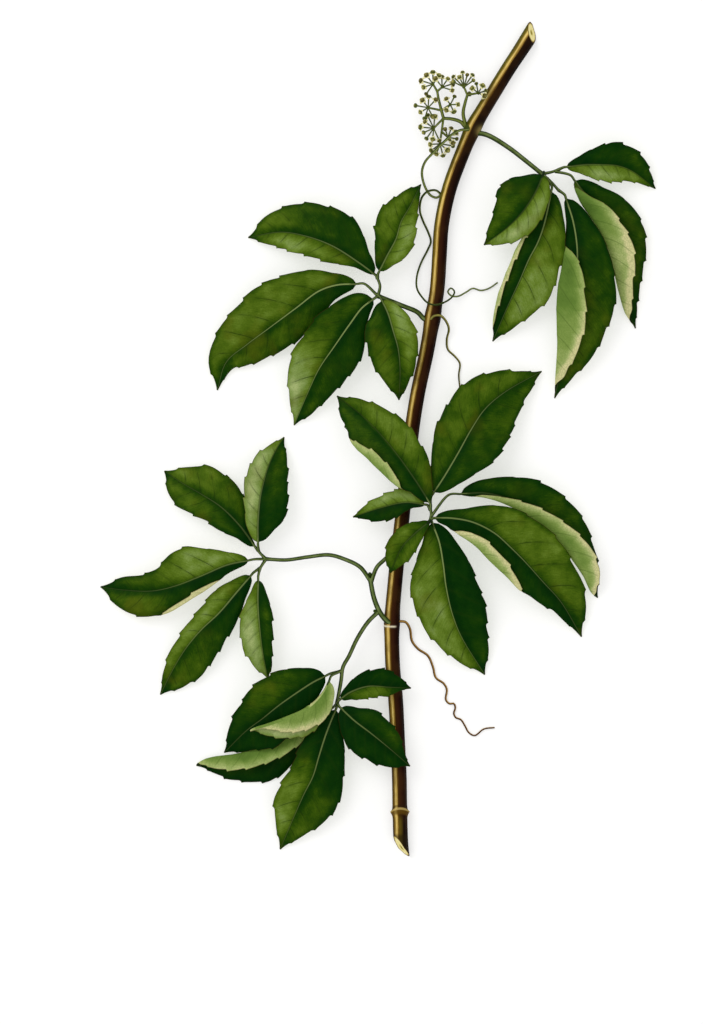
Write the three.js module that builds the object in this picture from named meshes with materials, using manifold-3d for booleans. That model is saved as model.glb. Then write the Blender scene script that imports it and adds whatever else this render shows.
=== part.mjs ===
// A cut, flowering length of a climbing vine, lying on a flat surface and seen from above.
// Millimetres, +Z up, the surface at z = 0, the stem's length along Y.
// Every [across, down] pair is a place on a sheet ruled in units of half a millimetre.
import * as THREE from "three";
import { mergeVertices } from "three/addons/utils/BufferGeometryUtils.js";
import Module from "manifold-3d";

const wasm = await Module();
wasm.setup();

// The sheet: millimetres to one unit, and the place on it that becomes the origin
const UNIT = 0.5;
const SHEET_CENTRE = [378.2, 442];

// Pieces that touch on the plant keep this gap
const SEAT_GAP = 0.35;

// Leaf blades
const BLADE_THICKNESS = 0.8;
const BLADE_DROOP = 16;
const BASE_HALF_WIDTH = 0.5;
const TIP_HALF_WIDTH = 0.3;
const BASE_ROUNDNESS = 0.55;
const SMOOTH_SHARES = [0, 0.025, 0.07, 0.14];
const PLAIN_STRIPS = 2;
const SECTION_STEPS = 24;

// Teeth of the margin: where they run, how deep they are and where in its pitch a tooth has its point
const TEETH_FROM = 0.24;
const TEETH_TO = 0.95;
const TOOTH_DEPTH = 1.3;
const TOOTH_OUT = 0.6;
const TOOTH_IN = -0.4;
const TOOTH_RISE = 0.8;
const TOOTH_STAGGER = 0.03;
const SMALL_BLADE = 6;

// Curled margins: the bend's radius and turn, and the share of the length in which a curl begins or ends
const CURLED_STRIPS = 5;
const CURL_RADIUS = 1.4;
const CURL_TURN = 172;
const CURL_EASE = 0.22;

// Main stem and its collar
const STEM_RADIUS = 3.65;
const STEM_HEIGHT = 3.35;
const STEM_SIDES = 12;
const STEM_STEPS = 40;
const COLLAR_AT = 28.8;
const COLLAR_STEPS = [-3, -1.2, 0, 1.2, 3];
const COLLAR_CLEAR = 5;
const CUTTER_SIZE = 40;

// Stalks and tendrils
const PETIOLE_RADIUS = 1.2;
const SHOOT_RADIUS = 1.3;
const THIN_PETIOLE_RADIUS = 0.95;
const PETIOLULE_RADIUS = 0.7;
const STALK_TAPER = 0.85;
const STALK_SIDES = 6;
const STALK_STEP = 7;
const PETIOLULE_SIDES = 4;
const PETIOLULE_STEP = 4.5;
const PETIOLULE_END = 0.3;
const TENDRIL_RADIUS = [0.7, 0.4];
const TENDRIL_SIDES = 5;
const TENDRIL_STEP = 2.9;

// Flower cluster
const BRANCH_SIDES = 5;
const BRANCH_STEP = 5;
const UMBEL_STALK_RADIUS = [0.6, 0.5];
const UMBEL_STALK_SIDES = 4;
const UMBEL_STALK_STEP = 8;
const RAY_RADIUS = 0.38;
const RAY_SIDES = 3;
const RAY_CLIMB = [30, -6];
const RAY_LENGTHS = [0.86, 1.08];
const HUB_RADIUS = 1.05;
const BUD_RADIUS = 1.05;

const COLOURS = {
  leaf: { color: 0x2f5a1c, roughness: 0.6, metalness: 0 },
  stalk: { color: 0x5d7a38, roughness: 0.6, metalness: 0 },
  bark: { color: 0x5b3d17, roughness: 0.55, metalness: 0 },
  tendril: { color: 0x77703a, roughness: 0.6, metalness: 0 },
  flower: { color: 0x7b8a45, roughness: 0.7, metalness: 0 },
};

const radians = THREE.MathUtils.degToRad;
const onSheet = ([across, down], height = 0) => new THREE.Vector3(
  (across - SHEET_CENTRE[0]) * UNIT,
  (SHEET_CENTRE[1] - down) * UNIT,
  height,
);
const path3 = (points) => points.map(([across, down, height]) => onSheet([across, down], height));

// Solids

function closedGeometry(vertices, faces) {
  const geometry = new THREE.BufferGeometry();
  const numbers = vertices.flatMap((v) => [v.x, v.y, v.z]);
  geometry.setAttribute("position", new THREE.Float32BufferAttribute(numbers, 3));
  geometry.setIndex(faces.flat());
  return geometry;
}

function toSolid(geometry) {
  const bare = geometry.clone();
  bare.deleteAttribute("normal");
  bare.deleteAttribute("uv");
  const merged = mergeVertices(bare, 1e-4);
  return new wasm.Manifold(new wasm.Mesh({
    numProp: 3,
    vertProperties: merged.attributes.position.array,
    triVerts: new Uint32Array(merged.index.array),
  }));
}

function toGeometry(solid) {
  const mesh = solid.getMesh();
  const geometry = new THREE.BufferGeometry();
  geometry.setAttribute("position", new THREE.BufferAttribute(mesh.vertProperties, 3));
  geometry.setIndex(new THREE.BufferAttribute(mesh.triVerts, 1));
  return geometry;
}

const fuse = (geometries) => geometries.map(toSolid).reduce((whole, next) => whole.add(next));

// Rings of equal count joined into one closed skin, with a flat cap at both ends.
function skin(rings) {
  const count = rings[0].length;
  const vertices = rings.flat();
  const faces = [];
  for (let r = 0; r + 1 < rings.length; r += 1) {
    for (let k = 0; k < count; k += 1) {
      const a = r * count + k;
      const b = r * count + ((k + 1) % count);
      faces.push([a, b, b + count], [a, b + count, a + count]);
    }
  }
  const last = (rings.length - 1) * count;
  for (let k = 1; k + 1 < count; k += 1) {
    faces.push([0, k + 1, k], [last, last + k, last + k + 1]);
  }
  return closedGeometry(vertices, faces);
}

// A round tube along a smooth path, its radius running evenly from the first value to the second.
function taperedTube(points, [from, to], sides, step) {
  const curve = new THREE.CatmullRomCurve3(points, false, "centripetal");
  const steps = Math.max(2, Math.round(curve.getLength() / step));
  const frames = curve.computeFrenetFrames(steps, false);
  const rings = [];
  for (let i = 0; i <= steps; i += 1) {
    const centre = curve.getPointAt(i / steps);
    const radius = from + (to - from) * (i / steps);
    const ring = [];
    for (let k = 0; k < sides; k += 1) {
      const angle = (2 * Math.PI * k) / sides;
      ring.push(centre.clone()
        .addScaledVector(frames.normals[i], Math.cos(angle) * radius)
        .addScaledVector(frames.binormals[i], Math.sin(angle) * radius));
    }
    rings.push(ring);
  }
  return skin(rings);
}

// Stem: the centre line, with a swelling where each leaf leaves it and a collar near the foot.
const stemLine = [
  [404, 870], [401, 845], [400, 811], [399, 768], [395.5, 698], [392.5, 662], [392, 622], [396, 573],
  [401.5, 524], [407, 475], [412, 430], [417.5, 395], [426, 355], [432.5, 318], [437, 290], [439.5, 256],
  [442, 223], [449, 190], [459.5, 160], [474, 126], [483, 110], [507.5, 70], [520.5, 50], [542, 16],
];
const swellings = [
  { at: [474, 129], height: 0.5, reach: 6 },
  { at: [432.5, 318], height: 0.5, reach: 5 },
  { at: [392, 622], height: 0.4, reach: 5 },
  { at: [399.7, 812.4], height: 0.9, reach: 1.6 },
];
const topCut = { at: [532, 32], along: [0.96, -0.29], tilt: 27 };
const footCut = { at: [400.5, 847], along: [-0.82, 0.57], tilt: 22 };

function stemSkin(extra) {
  const curve = new THREE.CatmullRomCurve3(stemLine.map((p) => onSheet(p, STEM_HEIGHT)), false, "centripetal");
  const length = curve.getLength();
  const places = COLLAR_STEPS.map((step) => COLLAR_AT + step);
  for (let i = 0; i <= STEM_STEPS; i += 1) {
    const place = (i / STEM_STEPS) * length;
    if (Math.abs(place - COLLAR_AT) > COLLAR_CLEAR) places.push(place);
  }
  places.sort((a, b) => a - b);
  const rings = [];
  for (const place of places) {
    const centre = curve.getPointAt(place / length);
    const along = curve.getTangentAt(place / length);
    const side = new THREE.Vector3(-along.y, along.x, 0).normalize();
    const swell = swellings.reduce((sum, { at, height, reach }) => {
      const distance = centre.distanceTo(onSheet(at, STEM_HEIGHT));
      return sum + height * Math.exp(-((distance / reach) ** 2));
    }, 0);
    const radius = STEM_RADIUS + swell + extra;
    const ring = [];
    for (let k = 0; k < STEM_SIDES; k += 1) {
      const angle = (2 * Math.PI * (k + 0.5)) / STEM_SIDES;
      const point = centre.clone().addScaledVector(side, -Math.sin(angle) * radius);
      point.z = STEM_HEIGHT + Math.cos(angle) * radius;
      if (extra === 0) point.z = Math.max(point.z, 0);
      ring.push(point);
    }
    rings.push(ring);
  }
  return skin(rings);
}

// A slanting cut takes off everything beyond a plane through one point of the stem.
function cutter({ at, along, tilt }) {
  const flat = new THREE.Vector3(along[0], -along[1], 0).normalize();
  const facing = flat.multiplyScalar(Math.cos(radians(tilt)));
  facing.z = Math.sin(radians(tilt));
  const block = new THREE.BoxGeometry(CUTTER_SIZE, CUTTER_SIZE, CUTTER_SIZE);
  block.translate(0, 0, CUTTER_SIZE / 2);
  block.applyQuaternion(new THREE.Quaternion().setFromUnitVectors(new THREE.Vector3(0, 0, 1), facing));
  const centre = onSheet(at, STEM_HEIGHT);
  block.translate(centre.x, centre.y, centre.z);
  return toSolid(block);
}

const stemSolid = toSolid(stemSkin(0)).subtract(cutter(topCut)).subtract(cutter(footCut));
const stemRoom = toSolid(stemSkin(SEAT_GAP));
const clearOfStem = (solid) => {
  const bodies = solid.subtract(stemRoom).decompose();
  return bodies.sort((a, b) => b.volume() - a.volume())[0];
};

// Leaflets. rib runs from base to tip. left and right are half-widths in mm at each eighth of the rib.
// rise holds the height of the base, the arch between and the height of the tip.
// lift is how far each half stands up from the rib, in degrees.
// A curl turns the margin of one side over the blade between two shares of the length: fold is how much
// wider the blade reaches there, and flap the width of margin that lies back over it, both in mm.
const leaflets = {
  leaf_a_leaflet_1: {
    rib: [[374, 274], [359, 263], [332, 246], [305, 236], [280, 232], [248, 237]],
    left: [3, 7, 9, 9.5, 9.5, 8, 4.5], right: [7, 13.5, 17, 17.5, 16.5, 13.5, 8],
    rise: [10, 5, 0.8], lift: [14, 6], teeth: 5,
  },
  leaf_a_leaflet_2: {
    rib: [[379.5, 271], [387, 256], [396, 239], [401, 222], [409, 208], [421, 184]],
    left: [6, 9.5, 12, 12, 11, 8.5, 5], right: [5, 8.5, 9, 9, 7.5, 5, 2.5],
    rise: [10.5, 3, 4], lift: [12, 12], teeth: 4,
  },
  leaf_a_leaflet_3: {
    rib: [[356, 284], [337, 285], [319, 291], [296, 308], [269, 328], [246, 345], [226, 362], [217, 390]],
    left: [6, 9.5, 12, 13, 11.5, 8, 3.5], right: [6.5, 13, 18, 20, 19, 16, 8.5],
    rise: [9, 2, 0.6], lift: [0, 12], teeth: 6,
  },
  leaf_a_leaflet_4: {
    rib: [[373, 299.5], [362, 308], [350, 324], [334, 347], [319, 369], [309, 390], [294, 425]],
    left: [5, 10.5, 13.5, 14, 13, 10, 6], right: [8, 12, 15, 15.5, 15, 12, 6.5],
    rise: [10, 6, 0.6], lift: [2, 14], teeth: 5,
  },
  leaf_a_leaflet_5: {
    rib: [[382, 301], [388, 314], [393, 331], [398, 349], [400, 371], [399, 400]],
    left: [6, 9.5, 10.5, 9.5, 8, 6, 3.5], right: [8, 12.5, 14.5, 15, 14, 11, 6],
    rise: [11.5, 7, 6], lift: [12, 12], teeth: 4,
  },
  leaf_b_leaflet_1: {
    rib: [[567, 167], [585, 165], [603, 165], [618, 166], [632, 171], [656, 188]],
    left: [4.5, 8, 10.5, 11.5, 10.5, 7.5, 4], right: [4, 6.5, 8, 8.5, 7.5, 5, 2.5],
    rise: [9.5, 4, 1], lift: [8, 14], teeth: 5,
  },
  leaf_b_leaflet_2: {
    rib: [[575, 181], [588, 198], [602, 220], [613, 248], [620, 280], [627, 306], [636, 328]],
    left: [7, 13.5, 17.5, 17, 13.5, 9.5, 5.5], right: [4, 4, 3, 2, 1.5, 1.5, 1],
    rise: [8, 0, 0.6], lift: [6, 4], teeth: 6,
    curl: { side: "right", from: 0.2, to: 0.97, fold: 0, flap: 10 },
  },
  leaf_b_leaflet_3: {
    rib: [[566, 199], [573, 222], [577, 250], [576, 285], [570, 325], [562, 365], [555, 398]],
    left: [9.5, 15, 18, 19, 17.5, 13.5, 6.5], right: [3, 5, 7, 8.5, 7, 4, 2],
    rise: [9.5, 6, 1], lift: [7, 6], teeth: 6,
    curl: { side: "right", from: 0.2, to: 0.98, fold: 0, flap: 13 },
  },
  leaf_b_leaflet_4: {
    rib: [[551, 192], [549, 203], [543, 228], [537, 244], [529, 259], [519, 282], [507, 308], [493, 341]],
    left: [6.5, 10.5, 13.5, 16, 15.5, 12, 6.5], right: [4, 6.5, 7.5, 7.5, 7, 6, 3.5],
    rise: [11, 8, 1], lift: [4, 6], teeth: 5,
    curl: { side: "right", from: 0.25, to: 0.95, fold: 0.5, flap: 4 },
  },
  leaf_b_leaflet_5: {
    rib: [[541, 180], [540, 191], [533, 203], [522, 217], [508, 228], [484, 245]],
    left: [6, 7.5, 8.5, 8, 7.5, 6, 3.5], right: [13.5, 16.5, 17, 16, 13, 9, 5],
    rise: [14, 9, 9], lift: [12, 4], teeth: 4,
  },
  leaf_c_leaflet_1: {
    rib: [[429, 502], [415, 480], [398, 456], [380, 434], [360, 414], [337, 396]],
    left: [5.5, 8, 9.5, 10.5, 11, 10.5, 7.5], right: [6.5, 11, 12.5, 14, 12.5, 9.5, 5.5],
    rise: [20.5, 3, 8], lift: [4, 12], teeth: 5,
    curl: { side: "left", from: 0.1, to: 0.65, fold: 2.2, flap: 4 },
  },
  leaf_c_leaflet_2: {
    rib: [[434, 492], [445, 475], [458, 453], [472, 428], [485, 409], [505, 392], [542, 371]],
    left: [9, 14, 16.5, 17, 15.5, 11, 5], right: [8, 13.5, 17.5, 18.5, 17.5, 13.5, 7],
    rise: [18.5, 2, 1.5], lift: [8, 8], teeth: 6,
  },
  leaf_c_leaflet_3: {
    rib: [[461, 494], [485, 493], [512, 500], [540, 514], [564, 537], [582, 565], [598, 598]],
    left: [7, 10.5, 12, 12.5, 11.5, 9, 6], right: [2, 2.5, 2.5, 2.5, 2, 1.5, 1],
    rise: [14, 1, 0.6], lift: [4, 2], teeth: 6,
    curl: { side: "right", from: 0.08, to: 0.97, fold: 0, flap: 9.5 },
  },
  leaf_c_leaflet_4: {
    rib: [[447, 518], [472, 522], [494, 533], [512, 549], [525, 562], [543, 582], [561, 602], [582, 637]],
    left: [5.5, 13, 18.5, 20, 19, 15, 9], right: [6, 9, 10.5, 10.5, 10.5, 8.5, 4.5],
    rise: [19, 6, 0.6], lift: [2, 2], teeth: 5,
    curl: { side: "right", from: 0.1, to: 0.62, fold: 1, flap: 4 },
  },
  leaf_c_leaflet_5: {
    rib: [[435.5, 529], [440, 542], [443, 564], [446, 587], [452, 613], [461, 636], [485, 675]],
    left: [8, 13, 15.5, 17.5, 16.5, 13, 8], right: [9, 14, 17, 17.5, 15.5, 12, 7],
    rise: [17.5, 3, 0.6], lift: [8, 4], teeth: 6,
  },
  leaf_c_leaflet_6: {
    rib: [[425, 525], [415, 533], [402, 547], [390, 573]],
    left: [3, 5, 6, 7, 6.5, 5, 2.5], right: [3.5, 6, 7, 7.5, 7.5, 6.5, 4],
    rise: [20.5, 1, 15], lift: [14, 14], teeth: 3,
  },
  leaf_c_leaflet_7: {
    rib: [[424, 504.5], [405, 502.5], [380, 508], [353, 517]],
    left: [2.5, 5, 6.5, 7, 6.5, 5, 2.5], right: [4, 6.5, 7, 6.5, 5.5, 4.5, 2.5],
    rise: [17.5, 0, 9], lift: [10, 2], teeth: 4,
  },
  leaf_d_leaflet_1: {
    rib: [[254.5, 546], [240, 526], [221, 507], [201, 494], [182, 483], [164, 471]],
    left: [5, 8.5, 10, 10.5, 11.5, 11, 7], right: [1.5, 6, 10.5, 12.5, 13, 12, 7],
    rise: [7.5, 3, 0.6], lift: [8, 2], teeth: 4,
  },
  leaf_d_leaflet_2: {
    rib: [[258, 542], [258, 524], [260, 500], [263, 485], [269, 465], [277, 448], [284, 437]],
    left: [5.5, 7, 8.5, 9.5, 9, 7, 3.5], right: [8.5, 13, 14, 13.5, 12, 10, 6],
    rise: [9.5, 5, 1], lift: [14, 6], teeth: 5,
  },
  leaf_d_leaflet_3: {
    rib: [[248, 560.5], [227, 565], [201, 576], [175, 586], [152, 591], [123, 590], [100, 587]],
    left: [4, 6, 8, 10.5, 12.5, 12, 7.5], right: [6, 12, 16, 16, 11, 8.5, 6],
    rise: [7.5, 4, 0.6], lift: [8, 10], teeth: 4,
    curl: { side: "left", from: 0.12, to: 0.6, fold: 0.8, flap: 2.5 },
  },
  leaf_d_leaflet_4: {
    rib: [[250.5, 576], [236, 593], [219, 613], [201, 630], [186, 648], [173, 669], [160, 695]],
    left: [5.5, 9.5, 12, 14, 14.5, 13.5, 9], right: [6, 9, 9, 7.5, 6.5, 5.5, 3.5],
    rise: [7, 3, 0.6], lift: [4, 4], teeth: 5,
  },
  leaf_d_leaflet_5: {
    rib: [[258.2, 580.5], [258, 604], [260, 630], [263, 654], [268, 679]],
    left: [4.5, 6.5, 7, 6.5, 5.5, 4.5, 3], right: [3.5, 6.5, 9, 10, 10, 8.5, 5],
    rise: [9, 3, 5], lift: [14, 10], teeth: 4,
  },
  leaf_e_leaflet_1: {
    rib: [[325, 676], [313, 682], [296, 693], [279, 705], [263, 718], [246, 731], [224, 753]],
    left: [5, 10, 14, 15.5, 15, 12, 7], right: [7, 12, 14.5, 15.5, 14, 10.5, 5.5],
    rise: [12, 7, 1], lift: [2, 12], teeth: 5,
  },
  leaf_e_leaflet_2: {
    rib: [[329, 711], [308, 729], [286, 741], [262, 751], [236, 758], [214, 761], [196, 766]],
    left: [3, 7, 12.5, 15.5, 14, 11, 6.5], right: [2, 2, 1.5, 1, 1, 1, 0.5],
    rise: [4.6, 0, 0.6], lift: [2, 2], teeth: 6,
    curl: { side: "right", from: 0.1, to: 0.96, fold: 0, flap: 8.5 },
  },
  leaf_e_leaflet_3: {
    rib: [[335.5, 710], [326, 734], [319, 756], [313, 776], [304, 794], [296, 812], [280, 850]],
    left: [8, 12.5, 15, 17.5, 17, 12.5, 6.5], right: [6.5, 9.5, 11, 12, 13, 12, 6.5],
    rise: [10.5, 5, 0.6], lift: [2, 4], teeth: 5,
  },
  leaf_e_leaflet_4: {
    rib: [[341, 708], [354, 720], [371, 733], [387, 746], [410, 766]],
    left: [6, 10, 11, 10, 9, 6, 2.5], right: [6.5, 10.5, 12.5, 13, 11.5, 10, 6],
    rise: [12, 3, 10], lift: [8, 8], teeth: 4,
  },
  leaf_e_leaflet_5: {
    rib: [[341, 698.5], [350, 692], [368, 686], [390, 687], [411, 688]],
    left: [3.5, 6, 7.5, 8.5, 9, 7, 4], right: [3.5, 5.5, 6, 6, 5, 4, 1.5],
    rise: [13, 2, 10.5], lift: [12, 10], teeth: 4,
  },
  leaf_e_leaflet_6: {
    rib: [[333, 699], [322, 709], [302, 719], [278, 725], [250.5, 730.5]],
    left: [5, 7, 7.5, 7, 6, 5, 3], right: [7, 7.5, 6, 4.5, 3.5, 2.5, 1.5],
    rise: [14.6, 4.6, 11.5], lift: [-6, -6], teeth: 4,
  },
};

// A smooth run of values given at even stations.
function smooth(values, share) {
  const place = Math.min(Math.max(share, 0), 1) * (values.length - 1);
  const i = Math.min(Math.floor(place), values.length - 2);
  const t = place - i;
  const before = values[Math.max(i - 1, 0)];
  const after = values[Math.min(i + 2, values.length - 1)];
  const [a, b] = [values[i], values[i + 1]];
  const [slopeA, slopeB] = [(b - before) / 2, (after - a) / 2];
  return (2 * t ** 3 - 3 * t ** 2 + 1) * a + (t ** 3 - 2 * t ** 2 + t) * slopeA
    + (3 * t ** 2 - 2 * t ** 3) * b + (t ** 3 - t ** 2) * slopeB;
}

// How far a margin has turned over at one share of the length, from 0 to 1.
function curlAmount(curl, share) {
  if (!curl || share <= curl.from || share >= curl.to) return 0;
  const ease = Math.min(share - curl.from, curl.to - share) / CURL_EASE;
  return Math.sin((Math.PI / 2) * Math.min(ease, 1));
}

// The section of one half: how far its plain part reaches, then the bend and the flap behind it.
function foldOf(width, curl, amount) {
  if (amount === 0) return { reach: width, bendFrom: width, bend: 0, turn: 0, total: width };
  const reach = width + curl.fold * amount;
  const turn = radians(CURL_TURN) * amount;
  const bendFrom = reach - CURL_RADIUS * amount;
  const bend = CURL_RADIUS * turn;
  return { reach, bendFrom, bend, turn, total: bendFrom + bend + curl.flap * amount ** 2 };
}

// How far along its section a column stands: evenly on a plain half, gathered at the fold on a curled one.
function placeOf({ bendFrom, bend, total }, amount, column, columns) {
  const even = (total * column) / columns;
  if (amount === 0) return even;
  const folded = [0, bendFrom / 2, bendFrom, bendFrom + bend / 2, bendFrom + bend, total][column];
  return even + (folded - even) * amount;
}

// The point of a section at a distance from the rib, walked in short steps.
function sectionAt({ reach, bendFrom, turn }, lift, distance) {
  const length = distance / SECTION_STEPS;
  let [across, up, angle] = [0, 0, radians(lift)];
  for (let i = 0; i < SECTION_STEPS; i += 1) {
    const middle = (i + 0.5) * length;
    const turned = Math.min(Math.max((middle - bendFrom) / CURL_RADIUS, 0), turn);
    const droop = radians(BLADE_DROOP) * Math.min(middle / reach, 1);
    angle = radians(lift) - droop + turned;
    across += Math.cos(angle) * length;
    up += Math.sin(angle) * length;
  }
  return { across, up, angle };
}

// The rows of a blade: each tooth rises slowly to its point and drops back towards the rib.
function bladeRows(teeth) {
  const pitch = (TEETH_TO - TEETH_FROM) / teeth;
  const rows = SMOOTH_SHARES.map((share) => ({ share, tooth: 0 }));
  for (let k = 0; k < teeth; k += 1) {
    rows.push({ share: TEETH_FROM + k * pitch, tooth: TOOTH_IN });
    rows.push({ share: TEETH_FROM + (k + TOOTH_RISE) * pitch, tooth: TOOTH_OUT });
  }
  rows.push({ share: TEETH_TO, tooth: TOOTH_IN }, { share: 1, tooth: 0 });
  return rows;
}

// Half-width with a rounded base: it grows fast over the first eighth and then follows the stations.
function halfWidth(values, share) {
  const station = 1 / (values.length - 1);
  if (share >= station) return smooth(values, share);
  return values[0] + (values[1] - values[0]) * Math.max(share / station, 0) ** BASE_ROUNDNESS;
}

// The rib of a leaflet as a function of its share of the length.
function ribOf({ rib, rise }) {
  const curve = new THREE.CatmullRomCurve3(rib.map((p) => onSheet(p)), false, "centripetal");
  return (share) => {
    const point = curve.getPointAt(Math.min(Math.max(share, 0), 1));
    point.z = rise[0] + (rise[2] - rise[0]) * share + rise[1] * 4 * share * (1 - share);
    return point;
  };
}

function directionAt(spine, share) {
  return spine(Math.min(share + 0.02, 1)).sub(spine(Math.max(share - 0.02, 0))).normalize();
}

function leafletSkin(leaflet) {
  const { left, right, lift, teeth, curl } = leaflet;
  const spine = ribOf(leaflet);
  const widths = {
    left: [BASE_HALF_WIDTH, ...left, TIP_HALF_WIDTH],
    right: [BASE_HALF_WIDTH, ...right, TIP_HALF_WIDTH],
  };
  const strips = (side) => (curl && curl.side === side ? CURLED_STRIPS : PLAIN_STRIPS);
  const columns = [];
  for (let k = strips("left"); k > 0; k -= 1) columns.push({ side: "left", number: k });
  for (let k = 0; k <= strips("right"); k += 1) columns.push({ side: "right", number: k });

  const tops = [];
  const bottoms = [];
  for (const { share, tooth } of bladeRows(teeth)) {
    for (const { side, number } of columns) {
      const sign = side === "left" ? 1 : -1;
      const out = number / strips(side);
      const place = share + sign * TOOTH_STAGGER * out * Math.sin(Math.PI * share);
      const centre = spine(place);
      const along = directionAt(spine, place);
      const leftward = new THREE.Vector3(-along.y, along.x, 0).normalize();
      const upward = new THREE.Vector3().crossVectors(along, leftward);
      const width = halfWidth(widths[side], place);
      const ownCurl = curl && curl.side === side ? curl : null;
      const amount = curlAmount(ownCurl, place);
      const fold = foldOf(width, ownCurl, amount);
      const jag = tooth * TOOTH_DEPTH * Math.min(width / SMALL_BLADE, 1) * out ** 2;
      const distance = Math.max(placeOf(fold, amount, number, strips(side)) + jag, 0);
      const spot = sectionAt(fold, side === "left" ? lift[0] : lift[1], distance);
      const point = centre
        .addScaledVector(leftward, sign * spot.across)
        .addScaledVector(upward, spot.up);
      const normal = upward.clone().multiplyScalar(Math.cos(spot.angle))
        .addScaledVector(leftward, -sign * Math.sin(spot.angle));
      const top = point.clone().addScaledVector(normal, BLADE_THICKNESS / 2);
      const bottom = point.clone().addScaledVector(normal, -BLADE_THICKNESS / 2);
      bottom.z = Math.max(bottom.z, 0);
      top.z = Math.max(top.z, BLADE_THICKNESS);
      tops.push(top);
      bottoms.push(bottom);
    }
  }
  return closeSheet(tops, bottoms, columns.length);
}

// Two grids of the same triangles, back to back, with a wall round their edge.
function closeSheet(tops, bottoms, wide) {
  const under = tops.length;
  const rows = under / wide;
  const faces = [];
  const pair = (a, b, c) => faces.push([a, b, c], [a + under, c + under, b + under]);
  const wall = (a, b) => faces.push([b, a, a + under], [b, a + under, b + under]);
  for (let i = 0; i + 1 < rows; i += 1) {
    for (let j = 0; j + 1 < wide; j += 1) {
      const a = i * wide + j;
      pair(a, a + 1, a + wide + 1);
      pair(a, a + wide + 1, a + wide);
    }
    wall((i + 1) * wide, i * wide);
    wall(i * wide + wide - 1, (i + 1) * wide + wide - 1);
  }
  for (let j = 0; j + 1 < wide; j += 1) {
    wall(j, j + 1);
    wall((rows - 1) * wide + j + 1, (rows - 1) * wide + j);
  }
  return closedGeometry([...tops, ...bottoms], faces);
}

// Stalks. Each leaf's stalk forks into a short stalk for every leaflet, which ends a seat's gap
// before the blade.
const stalks = {
  leaf_a_stalk: {
    runs: [
      {
        points: [
          [433, 318, 3.6], [425, 319, 4.2], [417.5, 312, 5], [402, 305.5, 6.5], [378, 296, 8.6],
        ],
        radius: PETIOLE_RADIUS,
      },
      { points: [[378, 296, 8.6], [380, 286, 9.3], [377, 277, 9.8]], radius: PETIOLULE_RADIUS },
    ],
    bears: [
      ["leaf_a_leaflet_1", [377.5, 279, 9.7]], ["leaf_a_leaflet_2", [377.5, 279, 9.7]],
      ["leaf_a_leaflet_3", [378, 296, 8.6]], ["leaf_a_leaflet_4", [378, 296, 8.6]],
      ["leaf_a_leaflet_5", [378, 296, 8.6]],
    ],
  },
  leaf_b_stalk: {
    runs: [
      {
        points: [
          [474, 132, 4], [487, 134.5, 4.5], [508, 147, 6.5], [526, 161, 8], [542, 174, 8.6],
        ],
        radius: PETIOLE_RADIUS,
      },
      { points: [[542, 174, 8.6], [552, 172, 8.8], [560, 169, 9.2]], radius: PETIOLULE_RADIUS },
      { points: [[542, 174, 8.6], [551, 182, 9], [559, 191, 9.2]], radius: PETIOLULE_RADIUS },
    ],
    bears: [
      ["leaf_b_leaflet_1", [558, 170, 9.1]], ["leaf_b_leaflet_2", [555, 171.5, 8.9]],
      ["leaf_b_leaflet_3", [558, 190, 9.1]], ["leaf_b_leaflet_4", [547, 178, 8.8]],
      ["leaf_b_leaflet_5", [542, 174, 8.6]],
    ],
  },
  side_shoot: {
    runs: [
      {
        points: [
          [392, 626, 5], [386, 622, 7], [380, 613, 8.4], [374, 598, 9.4], [370, 578, 10],
        ],
        radius: SHOOT_RADIUS,
      },
      {
        points: [
          [370, 580, 10], [360, 567, 9], [344, 559, 7], [329, 555, 5], [308, 557, 4.5], [286, 560, 5.5],
          [266, 559, 7],
        ],
        radius: THIN_PETIOLE_RADIUS,
      },
      {
        points: [
          [371, 582, 10], [377, 567, 11.2], [384, 560, 12.2], [402, 544, 15], [430, 521, 18.6],
        ],
        radius: THIN_PETIOLE_RADIUS,
      },
      {
        points: [
          [379, 611, 8.5], [368, 622, 7.6], [357, 639, 7.4], [349, 656, 8], [343, 667, 8.8],
          [341, 681, 10], [337, 703, 11],
        ],
        radius: THIN_PETIOLE_RADIUS,
      },
      { points: [[430, 521, 18.6], [431, 514, 19], [430, 508, 19.2]], radius: PETIOLULE_RADIUS },
      { points: [[266, 559, 7], [260, 553, 7.4], [257.5, 549, 7.6]], radius: PETIOLULE_RADIUS },
      { points: [[266, 559, 7], [262, 565, 7.2], [259, 570, 7.4]], radius: PETIOLULE_RADIUS },
    ],
    bears: [
      ["leaf_c_leaflet_1", [430, 509, 19.1]], ["leaf_c_leaflet_2", [430, 509, 19.1]],
      ["leaf_c_leaflet_3", [431, 516, 19]], ["leaf_c_leaflet_4", [430, 521, 18.6]],
      ["leaf_c_leaflet_5", [430, 521, 18.6]], ["leaf_c_leaflet_6", [430, 521, 18.6]],
      ["leaf_c_leaflet_7", [430, 510, 19]],
      ["leaf_d_leaflet_1", [258.5, 551, 7.5]], ["leaf_d_leaflet_2", [258.5, 551, 7.5]],
      ["leaf_d_leaflet_3", [266, 559, 7]], ["leaf_d_leaflet_4", [260, 568, 7.3]],
      ["leaf_d_leaflet_5", [260, 568, 7.3]],
      ["leaf_e_leaflet_1", [341, 671, 9.2]], ["leaf_e_leaflet_2", [337, 703, 11]],
      ["leaf_e_leaflet_3", [337, 703, 11]], ["leaf_e_leaflet_4", [337, 703, 11]],
      ["leaf_e_leaflet_5", [337, 703, 11]], ["leaf_e_leaflet_6", [337, 703, 11]],
    ],
  },
};

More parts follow.
